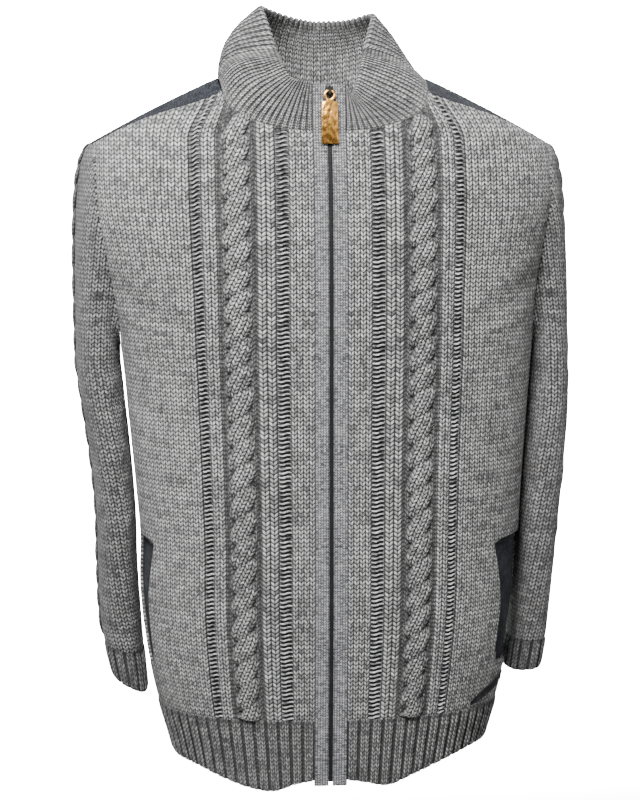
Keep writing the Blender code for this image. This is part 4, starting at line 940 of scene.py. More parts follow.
def mesh_object(name, verts, faces, finish, uv=None, marks=None, sharp=CLOTH_EDGE, weld=True):
    """Mesh of a piece with its UV map, marks and finish, closed and facing outwards."""
    mesh = bpy.data.meshes.new(name)
    mesh.from_pydata([tuple(v) for v in np.asarray(verts).tolist()], [], faces)
    if uv is not None:
        corners = np.empty(len(mesh.loops), int)
        mesh.loops.foreach_get("vertex_index", corners)
        layer = mesh.uv_layers.new(name="stitches")
        layer.data.foreach_set("uv", np.asarray(uv, np.float32)[corners].ravel())
    for key, values in (marks or {}).items():
        attribute = mesh.attributes.new(key, "FLOAT", "POINT")
        attribute.data.foreach_set("value", np.asarray(values, np.float32).ravel())
    work = bmesh.new()
    work.from_mesh(mesh)
    if weld:
        bmesh.ops.remove_doubles(work, verts=work.verts, dist=WELD_WITHIN)
        bmesh.ops.dissolve_degenerate(work, edges=work.edges, dist=1e-7)
    bmesh.ops.recalc_face_normals(work, faces=work.faces)
    work.to_mesh(mesh)
    work.free()
    mesh.shade_smooth()
    mesh.set_sharp_from_angle(angle=math.radians(sharp))
    return linked(name, mesh, finish)


def grid_quads(columns, rows, first=0):
    i, j = np.meshgrid(np.arange(columns - 1), np.arange(rows - 1), indexing="ij")
    a = (first + i * rows + j).ravel()
    return np.stack((a, a + rows, a + rows + 1, a + 1), axis=1).tolist()


class Shells:
    """Thin closed shells that together make one piece of cloth."""

    def __init__(self):
        self.verts = []
        self.faces = []
        self.uv = []
        self.marks = {"purl": [], "shade": []}
        self.count = 0

    def add(self, outer, inner, chosen, uv, marks=None, closed=False):
        """A finely drawn outside and a plain inside, with rims between them.

        chosen holds the outside's columns and rows that the inside repeats. A closed
        sheet goes round and has no rims along its first and last column.
        """
        columns, rows = outer.shape[:2]
        some_columns, some_rows = chosen
        start = self.count
        inside = start + columns * rows
        inner_rows = len(some_rows)
        self.faces += grid_quads(columns, rows, start)
        self.faces += [face[::-1] for face in grid_quads(len(some_columns), inner_rows, inside)]
        for row, inner_row in ((0, 0), (rows - 1, inner_rows - 1)):
            first = [(i, start + i * rows + row) for i in range(columns)]
            second = [(i, inside + k * inner_rows + inner_row) for k, i in enumerate(some_columns)]
            self.faces += zip_runs(first, second)
        if not closed:
            for column, inner_column in ((0, 0), (columns - 1, len(some_columns) - 1)):
                line = inside + inner_column * inner_rows
                first = [(j, start + column * rows + j) for j in range(rows)]
                second = [(j, line + m) for m, j in enumerate(some_rows)]
                self.faces += zip_runs(first, second)
        pick = np.ix_(some_columns, some_rows)
        self.verts += [outer.reshape(-1, 3), inner.reshape(-1, 3)]
        self.uv += [uv.reshape(-1, 2), uv[pick].reshape(-1, 2)]
        for key, store in self.marks.items():
            values = (marks or {}).get(key, 0.0) + np.zeros((columns, rows))
            store += [values.ravel(), values[pick].ravel()]
        self.count = inside + len(some_columns) * inner_rows

    def build(self, name, finish):
        marks = {key: np.concatenate(store) for key, store in self.marks.items()}
        verts = np.concatenate(self.verts)
        return mesh_object(name, verts, self.faces, finish, np.concatenate(self.uv), marks)


def joined(name, parts, finish):
    """One mesh object from several (points, faces, uv, shade) parts."""
    faces = []
    first = 0
    for points, part_faces, _, _ in parts:
        faces += [[first + i for i in face] for face in part_faces]
        first += len(points)
    verts, uv, shade = (np.concatenate([part[k] for part in parts]) for k in (0, 2, 3))
    return mesh_object(name, verts, faces, finish, uv, {"shade": shade}, ROUND_EDGE)


def remove_piece(obj):
    mesh = obj.data
    bpy.data.objects.remove(obj)
    bpy.data.meshes.remove(mesh)


# ---------------------------------------------------------------- shader language
def feed(tree, node, inputs):
    """Sets a node's inputs: plain values, or links from numbers and sockets."""
    for key, value in inputs.items():
        if isinstance(value, Number):
            value = value.socket
        if isinstance(value, bpy.types.NodeSocket):
            tree.links.new(value, node.inputs[key])
        else:
            node.inputs[key].default_value = value


def add_node(tree, kind, settings, inputs):
    node = tree.nodes.new(kind)
    for key, value in settings.items():
        setattr(node, key, value)
    feed(tree, node, inputs)
    return node


class Number:
    """A number in a material; Python's operators add Math nodes to it."""

    def __init__(self, finish, socket):
        self.finish = finish
        self.socket = socket

    def maths(self, operation, *others):
        inputs = {0: self}
        for place, other in enumerate(others, start=1):
            inputs[place] = other
        node = self.finish.node("ShaderNodeMath", {"operation": operation}, inputs)
        return Number(self.finish, node.outputs[0])

    def __add__(self, other):
        return self.maths("ADD", other)

    __radd__ = __add__

    def __sub__(self, other):
        return self.maths("SUBTRACT", other)

    def __rsub__(self, other):
        node = self.finish.node("ShaderNodeMath", {"operation": "SUBTRACT"}, {0: other, 1: self})
        return Number(self.finish, node.outputs[0])

    def __mul__(self, other):
        return self.maths("MULTIPLY", other)

    __rmul__ = __mul__

    def __pow__(self, other):
        return self.maths("POWER", other)

    def whole(self):
        return self.maths("FLOOR")

    def part(self):
        return self.maths("FRACT")

    def size(self):
        return self.maths("ABSOLUTE")

    def above(self, other):
        return self.maths("MAXIMUM", other)

    def below(self, other):
        return self.maths("MINIMUM", other)

    def kept(self):
        """Held between 0 and 1."""
        return self.above(0.0).below(1.0)


class Finish:
    """A material and the nodes that draw it."""

    def __init__(self, name):
        self.material = bpy.data.materials.new(name)
        self.material.use_nodes = True
        self.tree = self.material.node_tree
        self.tree.nodes.clear()
        out = self.node("ShaderNodeOutputMaterial", {}, {})
        self.shader = self.node("ShaderNodeBsdfPrincipled", {}, {})
        self.tree.links.new(self.shader.outputs[0], out.inputs[0])

    def node(self, kind, settings, inputs):
        return add_node(self.tree, kind, settings, inputs)

    def number(self, socket):
        return Number(self, socket)

    def mark(self, name):
        node = self.node("ShaderNodeAttribute", {"attribute_name": name}, {})
        return self.number(node.outputs["Fac"])

    def stitches(self):
        """Knitted columns across and rows up, from the piece's UV map."""
        uv = self.node("ShaderNodeUVMap", {"uv_map": "stitches"}, {})
        split = self.node("ShaderNodeSeparateXYZ", {}, {0: uv.outputs[0]})
        return self.number(split.outputs[0]), self.number(split.outputs[1])

    def place(self):
        return self.node("ShaderNodeTexCoord", {}, {}).outputs["Object"]

    def vector(self, x, y, z):
        return self.node("ShaderNodeCombineXYZ", {}, {0: x, 1: y, 2: z}).outputs[0]

    def noise(self, vector, scale, detail=2.0, roughness=0.5):
        inputs = {"Vector": vector, "Scale": scale, "Detail": detail, "Roughness": roughness}
        node = self.node("ShaderNodeTexNoise", {"noise_dimensions": "3D"}, inputs)
        return self.number(node.outputs["Fac"])

    def speckle(self, vector):
        settings = {"noise_dimensions": "3D"}
        node = self.node("ShaderNodeTexWhiteNoise", settings, {"Vector": vector})
        return self.number(node.outputs["Value"])

    def mix(self, factor, first, second):
        first, second = ((*c, 1.0) if isinstance(c, tuple) else c for c in (first, second))
        inputs = {0: factor, 6: first, 7: second}
        return self.node("ShaderNodeMix", {"data_type": "RGBA"}, inputs).outputs[2]

    def bump(self, height, distance):
        inputs = {"Strength": 1.0, "Distance": distance, "Height": height}
        return self.node("ShaderNodeBump", {}, inputs).outputs[0]

    def surface(self, **values):
        """Sets the shader's sockets, by their names with underscores for spaces."""
        named = {key.replace("_", " "): value for key, value in values.items()}
        feed(self.tree, self.shader, named)
        return self.material


# ---------------------------------------------------------------- finishes
YARN_DEPTH = 0.0014          # how deep the stitches of the thick yarn look


def knit_stitches(finish, u, v, slope=0.72):
    """Height of V-shaped stitches, and a number that differs for each leg of yarn."""
    side = (u.part() * 2.0 - 1.0).size()
    phase = v - side * slope
    along = (phase.part() * 2.0 - 1.0).size()
    across = (side * 2.0 - 0.92).size().below(1.0)
    leg = (1.0 - along ** 2.0) * (1.0 - across ** 2.2)
    height = leg.above(0.0) ** 0.6
    return height, phase.whole(), (u * 2.0).whole()


def purl_stitches(finish, u, v):
    """Height of purl bumps, one low arc across each row of each column."""
    middle = (u.part() * 2.0 - 1.0).size()
    shift = (u.whole() * 0.5).part()
    along = ((v + shift + middle * 0.35).part() * 2.0 - 1.0).size()
    return ((1.0 - along ** 2.0) * (1.0 - middle ** 3.0 * 0.6)).above(0.0) ** 0.5


def knit_finish(name, dark, light, gap):
    """Thick marled yarn: V stitches with flecks, streaks along the rows and soft fibres."""
    f = Finish(name)
    u, v = f.stitches()
    height, row, leg = knit_stitches(f, u, v)
    purl = f.mark("purl")
    shade = f.mark("shade")
    height = height * (1.0 - purl) + purl_stitches(f, u, v) * purl * 0.9
    own = f.speckle(f.vector(leg, row, 3.0))
    run = f.noise(f.vector(u * 0.16, row * 0.61, 5.0), 1.0, 2.0)
    broad = f.noise(f.place(), 9.0, 2.0)
    ply = f.noise(f.vector(u * 5.0, v * 9.0 + u * 3.0, 1.0), 1.0, 3.0, 0.7)
    tone = 0.5 + (run - 0.5) * (0.34 * 3.0) + (own - 0.5) * 0.62 + (ply - 0.5) * 1.3
    tone = (tone + (broad - 0.5) * 0.4).kept()
    colour = f.mix(tone, dark, light)
    tint = f.noise(f.vector(u * 0.3, row * 0.37, 9.0), 1.0, 1.0)
    colour = f.mix(((tint - 0.5) * 0.5 + 0.12).kept(), colour, (0.30, 0.27, 0.235))
    # Painted shade: the hollows between the stitch legs, and places with the shade mark, are
    # darkened towards the shade colour.
    hollow = ((1.0 - height ** 1.1) * 1.7 - 0.18).kept() * 0.98
    colour = f.mix(hollow, colour, gap)
    colour = f.mix((shade * 0.85).kept(), colour, gap)
    fibre = f.noise(f.place(), 1900.0, 2.0)
    normal = f.bump(height + ply * 0.22 + fibre * 0.16, YARN_DEPTH)
    return f.surface(Base_Color=colour, Roughness=0.94, Normal=normal, Sheen_Weight=0.25,
                     Sheen_Roughness=0.55, Specular_IOR_Level=0.18)


def yarn_finish(name, dark, light):
    """Loose bars of yarn in the ladders."""
    f = Finish(name)
    place = f.place()
    tone = f.noise(place, 160.0, 2.0)
    ply = f.noise(place, 900.0, 2.0)
    colour = f.mix(((tone - 0.5) * 2.6 + 0.5 + (ply - 0.5) * 0.8).kept(), dark, light)
    normal = f.bump(ply, 0.0004)
    return f.surface(Base_Color=colour, Roughness=0.95, Normal=normal, Sheen_Weight=0.2,
                     Specular_IOR_Level=0.15)


def jersey_finish(name, dark, light, gap, turned, depth, mottle, sheen):
    """Fine smooth knit; turned on its side on the bands."""
    f = Finish(name)
    u, v = f.stitches()
    if turned:
        u, v = v, u
    height, row, leg = knit_stitches(f, u, v, 0.6)
    broad = f.noise(f.place(), 42.0, 3.0, 0.6)
    run = f.noise(f.vector(u * 0.1, row * 0.5, 2.0), 1.0, 2.0)
    own = f.speckle(f.vector(leg, row, 1.0))
    tone = 0.5 + (broad - 0.5) * (mottle * 2.0) + (run - 0.5) * 0.6 + (own - 0.5) * 0.8
    colour = f.mix(tone.kept(), dark, light)
    # Painted shade: the hollows between the stitches, and places with the shade mark, are darkened
    # towards the shade colour.
    colour = f.mix(((1.0 - height ** 1.2) * 1.5 - 0.12).kept() * 0.95, colour, gap)
    shade = f.mark("shade")
    colour = f.mix((shade * 0.85).kept(), colour, gap)
    fibre = f.noise(f.place(), 2400.0, 2.0)
    normal = f.bump(height + fibre * 0.3, depth)
    return f.surface(Base_Color=colour, Roughness=0.93, Normal=normal, Sheen_Weight=sheen,
                     Sheen_Roughness=0.5, Specular_IOR_Level=0.12)


def woven_finish(name, dark, light, scale):
    """Tightly woven tape."""
    f = Finish(name)
    split = f.node("ShaderNodeSeparateXYZ", {}, {0: f.place()})
    u = f.number(split.outputs[0])
    v = f.number(split.outputs[2])
    warp = ((u * scale).part() * 2.0 - 1.0).size()
    weft = ((v * scale + (u * scale).whole() * 0.5).part() * 2.0 - 1.0).size()
    height = (1.0 - warp * weft).kept()
    tone = f.noise(f.place(), 300.0, 2.0)
    colour = f.mix((height * 0.6 + (tone - 0.5) * 0.6).kept(), dark, light)
    normal = f.bump(height, 0.0003)
    return f.surface(Base_Color=colour, Roughness=0.7, Normal=normal, Specular_IOR_Level=0.3)


def brass_finish(name):
    """Pale brass with wear, a hammered face and darker hollows."""
    f = Finish(name)
    place = f.place()
    drawn_out = {0: place, "Rotation": (0.0, 0.5, 0.0), "Scale": (1.0, 1.0, 0.55)}
    longer = f.node("ShaderNodeMapping", {}, drawn_out).outputs[0]
    hammered = {"Vector": longer, "Scale": 260.0, "Smoothness": 0.7}
    cells = f.node("ShaderNodeTexVoronoi", {"feature": "SMOOTH_F1"}, hammered)
    dent = f.number(cells.outputs["Distance"])
    wear_and_painted_shade = f.noise(place, 420.0, 3.0, 0.6)
    height = dent * 1.4 + wear_and_painted_shade * 0.4
    hollow = (1.0 - dent * 1.7).kept()
    tone = (hollow * 0.75 + (wear_and_painted_shade - 0.5) * 0.5).kept()
    colour = f.mix(tone, (0.84, 0.43, 0.10), (0.13, 0.047, 0.010))
    normal = f.bump(height, 0.0007)
    rough = (0.30 + (wear_and_painted_shade - 0.5) * 0.3 + hollow * 0.15).kept()
    return f.surface(Base_Color=colour, Metallic=1.0, Roughness=rough, Normal=normal)


def dark_metal_finish(name):
    f = Finish(name)
    wear_and_painted_shade = f.noise(f.place(), 700.0, 2.0)
    colour = f.mix(wear_and_painted_shade, (0.008, 0.008, 0.009), (0.035, 0.034, 0.033))
    rough = (0.45 + (wear_and_painted_shade - 0.5) * 0.3).kept()
    return f.surface(Base_Color=colour, Metallic=0.5, Roughness=rough)


def stage_finish(name):
    f = Finish(name)
    tone = f.noise(f.place(), 1.5, 2.0)
    colour = f.mix(tone, (0.88, 0.88, 0.88), (0.91, 0.91, 0.91))
    return f.surface(Base_Color=colour, Roughness=0.9, Specular_IOR_Level=0.1)


# Each finish: how it is drawn, its dark and light yarn, and the painted shade colour for the
# hollows between its stitches.
FINISHES = {
    "marled_knit": (knit_finish, {
        "dark": (0.085, 0.087, 0.092), "light": (0.90, 0.90, 0.89), "gap": (0.006, 0.006, 0.007),
    }),
    # Painted shade: the body's yarn in darker colours, for the shade that the sleeves and cuffs
    # hang in.
    "sleeve_knit": (knit_finish, {
        "dark": (0.055, 0.056, 0.06), "light": (0.52, 0.52, 0.525), "gap": (0.005, 0.005, 0.006),
    }),
    "ladder_yarn": (yarn_finish, {"dark": (0.08, 0.08, 0.085), "light": (0.72, 0.72, 0.72)}),
    "band_knit": (jersey_finish, {
        "dark": (0.17, 0.173, 0.18), "light": (0.98, 0.98, 1.0), "gap": (0.012, 0.012, 0.014),
        "turned": True, "depth": 0.0012, "mottle": 0.1, "sheen": 0.15,
    }),
    "slate_knit": (jersey_finish, {
        "dark": (0.020, 0.023, 0.031), "light": (0.098, 0.104, 0.126), "gap": (0.007, 0.008, 0.010),
        "turned": False, "depth": 0.0004, "mottle": 0.5, "sheen": 0.04,
    }),
    "tab_weave": (woven_finish, {
        "dark": (0.004, 0.004, 0.005), "light": (0.020, 0.020, 0.022), "scale": 1300.0,
    }),
    "zip_tape": (woven_finish, {
        "dark": (0.008, 0.008, 0.009), "light": (0.03, 0.03, 0.032), "scale": 1600.0,
    }),
    "cast_brass": (brass_finish, {}),
    "zip_metal": (dark_metal_finish, {}),
    "pale_floor": (stage_finish, {}),
}


@lru_cache(maxsize=None)
def finish_of(name):
    """Each finish is made once, when the first piece asks for it."""
    draw, values = FINISHES[name]
    return draw(name, **values)


# ---------------------------------------------------------------- fronts
def hump(part):
    return (1 - (2 * part - 1) ** 2) ** 0.7


def front_stitches(side):
    """Shares, column numbers, heights and marks of a front's lines, from the band outwards."""
    lines = []
    column = 0
    for kind, start, end, count in FRONT_BANDS:
        samples = SAMPLES[kind] * count
        for step in range(samples):
            part = step / samples
            within = (part * count) % 1
            rise = KNIT_SWELL * hump(within)
            ground = 0.0
            shade = 0.0
            if kind == "rib":
                rise += RIB_STAND * hump(part)
            if kind in SUNK:
                shade = 1.0 if step else 0.35
                ground = 1.0 if step else 0.5
                rise = -SUNK[kind] * shade
            distance = start + (end - start) * part
            share = share_at(side, "front", CHEST, distance)
            lines.append((share, column + part * count, rise, ground, shade))
        column += count
    first = share_at(side, "front", CHEST, FRONT_BANDS[-1][2])
    per_column = KNIT_PITCH / girth_at_chest(side, "front")
    step = 0
    while first + step / SAMPLES_EACH * per_column < 1.0 - per_column / (2 * SAMPLES_EACH):
        share = first + step / SAMPLES_EACH * per_column
        rise = PLAIN_SWELL if step % SAMPLES_EACH else 0.0
        lines.append((share, column + step / SAMPLES_EACH, rise, 0.0, 0.0))
        step += 1
    lines.append((1.0, column + (1.0 - first) / per_column, 0.0, 0.0, 0.0))
    return np.array(lines), column, first, per_column


def front_edge(side, level):
    """Share of the way to the side at which a front ends, with the mouth's ends run out."""
    low = MOUTH[0][0]
    high = MOUTH[-1][0]
    if low - MOUTH_RUNOUT < level < low:
        t = (low - level) / MOUTH_RUNOUT
        return mouth_share(side, low) * (1 - t) + t
    if high < level < high + MOUTH_RUNOUT / 2:
        t = (level - high) / (MOUTH_RUNOUT / 2)
        return mouth_share(side, high) * (1 - t) + t
    return front_end(side, level)


def panel_grid(side, face, shares, edge_levels, ends, tops):
    """Share, level, place and outward direction of a panel's points.

    Its columns stop at its side and its armhole, and end at its sloping top.
    """
    climb = np.clip((edge_levels - CHEST) / (edge_levels[-1] - CHEST), 0, 1)
    level = np.where(edge_levels[None, :] <= CHEST, edge_levels[None, :],
                     CHEST + climb[None, :] * (tops[:, None] - CHEST))
    share = np.broadcast_to(shares[:, None], level.shape)
    past = share > ends[None, :]
    share = np.where(past, ends[None, :], share)
    level = np.where(past, level[-1][None, :], level)
    points, out, _ = body_frame(side, face, share, level)
    return share, level, points, out


def make_front(side, name, rows=236):
    lines, plain_column, first, per_column = front_stitches(side)
    bottom = RIB_TOP - SEAM_LAP
    tip = level_of(EDGE_AT_TIP) - GAP / 2
    tip_share = arm_share(side, "front", tip)
    edge_levels = np.linspace(bottom, tip, rows)
    low, high = MOUTH[0][0], MOUTH[-1][0]
    for corner in (low - MOUTH_RUNOUT, low, high, high + MOUTH_RUNOUT / 2):
        edge_levels[np.argmin(np.abs(edge_levels - corner))] = corner
    ends = np.array([front_edge(side, float(level)) for level in edge_levels])
    tops = np.array([front_top(side, min(share, tip_share)) for share in lines[:, 0]]) + GAP
    share, level, points, out = panel_grid(side, "front", lines[:, 0], edge_levels, ends, tops)
    to_edge = (ends[None, :] - share) * girth_at_chest(side, "front")
    to_seam = np.minimum(to_edge, tops[:, None] - level)
    rise = lines[:, 2][:, None] * (1 - near_edge(to_seam, SEAM_FADE)) * np.ones_like(level)
    rise = rise * (1 - 0.7 * near_edge(level - bottom, 0.004))
    rise -= SEAM_DIP * near_edge(to_seam, DIP_WIDTH) * (level > CHEST)
    rise -= SEAM_DIP * near_edge(level - bottom, SEAM_FADE)
    mouth = (level > MOUTH[0][0]) & (level < MOUTH[-1][0])
    rise += WELT_STAND * near_edge(np.abs(to_edge - WELT_MIDDLE), WELT_HALF) * mouth
    rise += crease_depth(name, points)
    outer = points + out * rise[..., None]
    chosen = (every(len(lines), 7), every(rows, 6))
    pick = np.ix_(*chosen)
    fold = np.minimum(rise, 0.0)[pick] * 0.6
    inner = points[pick] - out[pick] * (WALL - fold)[..., None]
    beyond = plain_column + (share - first) / per_column
    column = np.where(share > first, beyond, lines[:, 1][:, None])
    counted = np.where(level > CHEST, seen_rows(points[..., 2]), rows_at(level))
    uv = np.stack((column, counted), axis=-1)
    marks = {"purl": lines[:, 3][:, None], "shade": lines[:, 4][:, None]}
    shells = Shells()
    shells.add(outer, inner, chosen, uv, marks)
    return shells.build(name + "_knit", finish_of("marled_knit"))


def pattern_frame(side, distance, rows):
    """Place, outward and sideways directions at a chest distance and a row of a front."""
    shares, distances = section(side, "front", CHEST)
    share = np.interp(distance, distances, shares)
    return body_frame(side, "front", share, level_at_rows(rows))


def seen_rows(height):
    """Rows up to a height above the chest, evenly spaced as seen from the front."""
    return rows_at(CHEST) + (height - CHEST) / ROW


@lru_cache(maxsize=None)
def row_table(side, distance):
    """Rows of one line of a front, and the same rows as they look from the front."""
    rows = np.linspace(0.0, top_row(side, distance), 400)
    points, _, _ = pattern_frame(side, distance, rows)
    seen = np.where(rows > rows_at(CHEST), seen_rows(points[:, 2]), rows)
    return rows, np.maximum.accumulate(seen)


def top_row(side, distance):
    share = share_at(side, "front", CHEST, distance)
    return float(rows_at(front_top(side, share)))


STRAND_RINGS = 27
STRAND_SIDES = 25
STRAND_SWING = 0.46          # how far a strand swings to each side, as a part of the cable's half
STRAND_HALF = 0.72           # half of a strand's width, as a part of the cable's half
STRAND_SINK = 0.0018         # how far its underside lies behind the plain knit
STRAND_BELLY = 0.0008        # and how far that bulges out behind


def strand(place, crossing, half, keep=(-math.inf, math.inf)):
    """One strand of a rope cable where it passes over: a closed swell of three columns.

    place(across, rows, height) gives points; across is to the viewer's right. The strand
    starts straight on one side, leans over and ends straight on the other, and both
    ends dive under its neighbours.
    """
    reach = ROWS_PER_CROSSING * STRAND_REACH
    along = np.linspace(-1, 1, STRAND_RINGS)
    turn = np.linspace(0, 2 * math.pi, STRAND_SIDES)
    across = half * STRAND_SWING * np.sin(math.pi / 2 * along)
    free = crossing + along * reach
    rows = np.clip(free, *keep)
    step_across = np.gradient(across)
    step_up = np.gradient(free) * ROW
    length = np.hypot(step_across, step_up)
    width = half * STRAND_HALF * np.maximum(1 - np.abs(along) ** 5, 0) ** 0.6
    wide = np.sign(np.cos(turn)) * np.abs(np.cos(turn)) ** 0.8
    side = wide[None, :] * width[:, None]
    u_across = across[:, None] + side * (step_up / length)[:, None]
    u_rows = rows[:, None] - side * (step_across / length)[:, None] / ROW
    crown = np.maximum(np.cos(math.pi / 2 * along), 0) ** 0.5
    swell = np.maximum(np.sin(turn), 0) ** 0.75
    under = np.minimum(np.sin(turn), 0)
    height = crown[:, None] * swell[None, :] * CABLE_HEIGHT
    height = height + under[None, :] * STRAND_BELLY * (1 - along ** 8)[:, None] - STRAND_SINK
    points = place(u_across, u_rows, height)
    distance = np.cumsum(length) / ROW
    u = 1.5 + 1.5 * wide[None, :] * np.ones_like(rows)[:, None]
    v = np.broadcast_to(distance[:, None] + crossing * 3.37, u.shape)
    shade = np.abs(wide)[None, :] ** 4 + np.abs(along)[:, None] ** 4
    uv = np.stack((u, v), axis=-1).reshape(-1, 2)
    faces = grid_quads(STRAND_RINGS, STRAND_SIDES)
    return points.reshape(-1, 3), faces, uv, np.clip(shade, 0, 1).ravel()


def make_cable(side, name):
    """The rope cable of a front, strand over strand from the hem rib to the neck."""
    middle = (CABLE_FROM + CABLE_TO) / 2
    rows_there, seen = row_table(side, middle)
    keep = (0.2, seen[-1] - 0.3)

    def place(across, rows, height):
        rows = np.interp(np.clip(rows, *keep), seen, rows_there)
        points, out, _ = pattern_frame(side, middle + side * across, rows)
        return points + out * height[..., None]

    parts = []
    crossing = ROWS_PER_CROSSING * 0.1
    while crossing < seen[-1]:
        parts.append(strand(place, crossing, CABLE_HALF, keep))
        crossing += ROWS_PER_CROSSING
    return joined(name, parts, finish_of("marled_knit"))


# ---------------------------------------------------------------- things that repeat
def repeat_tree():
    """Node tree that sets one shape on every point, with its own turn and size."""
    tree = bpy.data.node_groups.get("Repeat on points")
    if tree:
        return tree
    tree = bpy.data.node_groups.new("Repeat on points", "GeometryNodeTree")
    face = tree.interface
    face.new_socket("Geometry", in_out="INPUT", socket_type="NodeSocketGeometry")
    face.new_socket("Shape", in_out="INPUT", socket_type="NodeSocketObject")
    uneven = face.new_socket("Unevenness", in_out="INPUT", socket_type="NodeSocketFloat")
    uneven.default_value = 0.1
    face.new_socket("Seed", in_out="INPUT", socket_type="NodeSocketInt")
    face.new_socket("Finish", in_out="INPUT", socket_type="NodeSocketMaterial")
    face.new_socket("Geometry", in_out="OUTPUT", socket_type="NodeSocketGeometry")

    def add(kind, settings, inputs):
        return add_node(tree, kind, settings, inputs).outputs

    entry = add("NodeGroupInput", {}, {})
    points = add("GeometryNodeMeshToPoints", {}, {"Mesh": entry["Geometry"]})
    vector = {"data_type": "FLOAT_VECTOR"}
    turn = add("GeometryNodeInputNamedAttribute", vector, {"Name": "turn"})
    size = add("GeometryNodeInputNamedAttribute", vector, {"Name": "size"})
    rotation = add("FunctionNodeEulerToRotation", {}, {"Euler": turn["Attribute"]})
    bounds = {0: 1.0, 1: entry["Unevenness"]}
    low = add("ShaderNodeMath", {"operation": "SUBTRACT"}, bounds)
    high = add("ShaderNodeMath", {"operation": "ADD"}, bounds)
    chance = add("FunctionNodeRandomValue", {"data_type": "FLOAT"},
                 {2: low[0], 3: high[0], "Seed": entry["Seed"]})
    scale = add("ShaderNodeVectorMath", {"operation": "SCALE"},
                {0: size["Attribute"], "Scale": chance[1]})
    shape = add("GeometryNodeObjectInfo", {"transform_space": "ORIGINAL"},
                {"Object": entry["Shape"]})
    copies = add("GeometryNodeInstanceOnPoints", {}, {
        "Points": points[0], "Instance": shape["Geometry"],
        "Rotation": rotation[0], "Scale": scale[0],
    })
    real = add("GeometryNodeRealizeInstances", {}, {"Geometry": copies[0]})
    painted = add("GeometryNodeSetMaterial", {},
                  {"Geometry": real[0], "Material": entry["Finish"]})
    add("NodeGroupOutput", {}, {0: painted[0]})
    return tree


def repeat(name, shape, points, turns, sizes, finish, uneven, seed):
    """A plain mesh of one shape set on every point by the repeating node tree."""
    mesh = bpy.data.meshes.new(name + "_points")
    mesh.from_pydata([tuple(p) for p in points], [], [])
    for key, values in (("turn", turns), ("size", sizes)):
        attribute = mesh.attributes.new(key, "FLOAT_VECTOR", "POINT")
        attribute.data.foreach_set("vector", np.asarray(values, np.float32).ravel())
    holder = linked(name + "_points", mesh)
    tree = repeat_tree()
    modifier = holder.modifiers.new("repeat", "NODES")
    modifier.node_group = tree
    values = {"Shape": shape, "Unevenness": uneven, "Seed": seed, "Finish": finish}
    for item in tree.interface.items_tree:
        if item.item_type == "SOCKET" and item.in_out == "INPUT" and item.name in values:
            modifier[item.identifier] = values[item.name]
    depsgraph = bpy.context.evaluated_depsgraph_get()
    result = bpy.data.meshes.new_from_object(holder.evaluated_get(depsgraph))
    result.name = name
    piece = linked(name, result)
    remove_piece(holder)
    remove_piece(shape)
    piece.data.shade_smooth()
    return piece


def turns_of(across, out):
    """Euler turns that set a shape's X across and its Z outwards."""
    turns = []
    for x_axis, z_axis in zip(np.reshape(across, (-1, 3)), np.reshape(out, (-1, 3))):
        x_axis = Vector(x_axis)
        z_axis = Vector(z_axis)
        y_axis = z_axis.cross(x_axis).normalized()
        x_axis = y_axis.cross(z_axis).normalized()
        turns.append(tuple(Matrix((x_axis, y_axis, z_axis)).transposed().to_euler()))
    return turns


def rung_shape():
    """A wavy bar of yarn across a ladder, one unit wide and about one unit thick."""
    sides = 6
    places = np.linspace(-0.5, 0.5, 9)
    verts = []
    for x in places:
        middle = Vector((x, 0.42 * math.sin(2 * math.pi * x), 0.75 * math.cos(math.pi * x) - 0.35))
        thick = 0.30 + 0.24 * math.cos(math.pi * x)
        for step in range(sides):
            angle = 2 * math.pi * step / sides
            offset = Vector((0, thick * math.cos(angle), thick * math.sin(angle)))
            verts.append(tuple(middle + offset))
    faces = []
    for ring in range(0, len(verts) - sides, sides):
        for step in range(sides):
            after = (step + 1) % sides
            faces.append((ring + step, ring + after, ring + sides + after, ring + sides + step))
    faces.append(tuple(range(sides)))
    faces.append(tuple(range(len(verts) - sides, len(verts))))
    return mesh_object("rung_shape", verts, faces, finish_of("ladder_yarn"), sharp=ROUND_EDGE,
                       weld=False)


BAR_LENGTH = 0.98            # as a part of the ladder's width
BAR_HEIGHT = 0.40            # as a part of a row
BAR_DEPTH = 0.0021
BAR_STAND = 0.0009           # how far the bars lie before the bottom of their ladder
BAR_UNEVENNESS = 0.12


def make_ladders(side, name):
    """Bars of yarn across both ladders of a front, one to each row."""
    places, sideways, outward, sizes = [], [], [], []
    sink = LADDER_DEPTH - BAR_STAND
    for start, end in LADDERS:
        middle = (start + end) / 2
        rows_there, seen = row_table(side, middle)
        rows = np.interp(np.arange(0.5, seen[-1] - 0.2, 1.0), seen, rows_there)
        points, out, along = pattern_frame(side, middle, rows)
        heights = np.linalg.norm(np.gradient(points, axis=0), axis=-1)
        for k in range(len(rows)):
            places.append(points[k] - out[k] * sink)
            sideways.append(along[k] * (1 if k % 2 else -1))
            outward.append(out[k])
            sizes.append(((end - start) * BAR_LENGTH, heights[k] * BAR_HEIGHT, BAR_DEPTH))
    turns = turns_of(sideways, outward)
    finish = finish_of("ladder_yarn")
    return repeat(name, rung_shape(), places, turns, sizes, finish, BAR_UNEVENNESS, 7)


# ---------------------------------------------------------------- back
def mirrored(left, right):
    """One run from the left side to the right, given both halves from the middle out."""
    return np.concatenate((left[:0:-1], right))


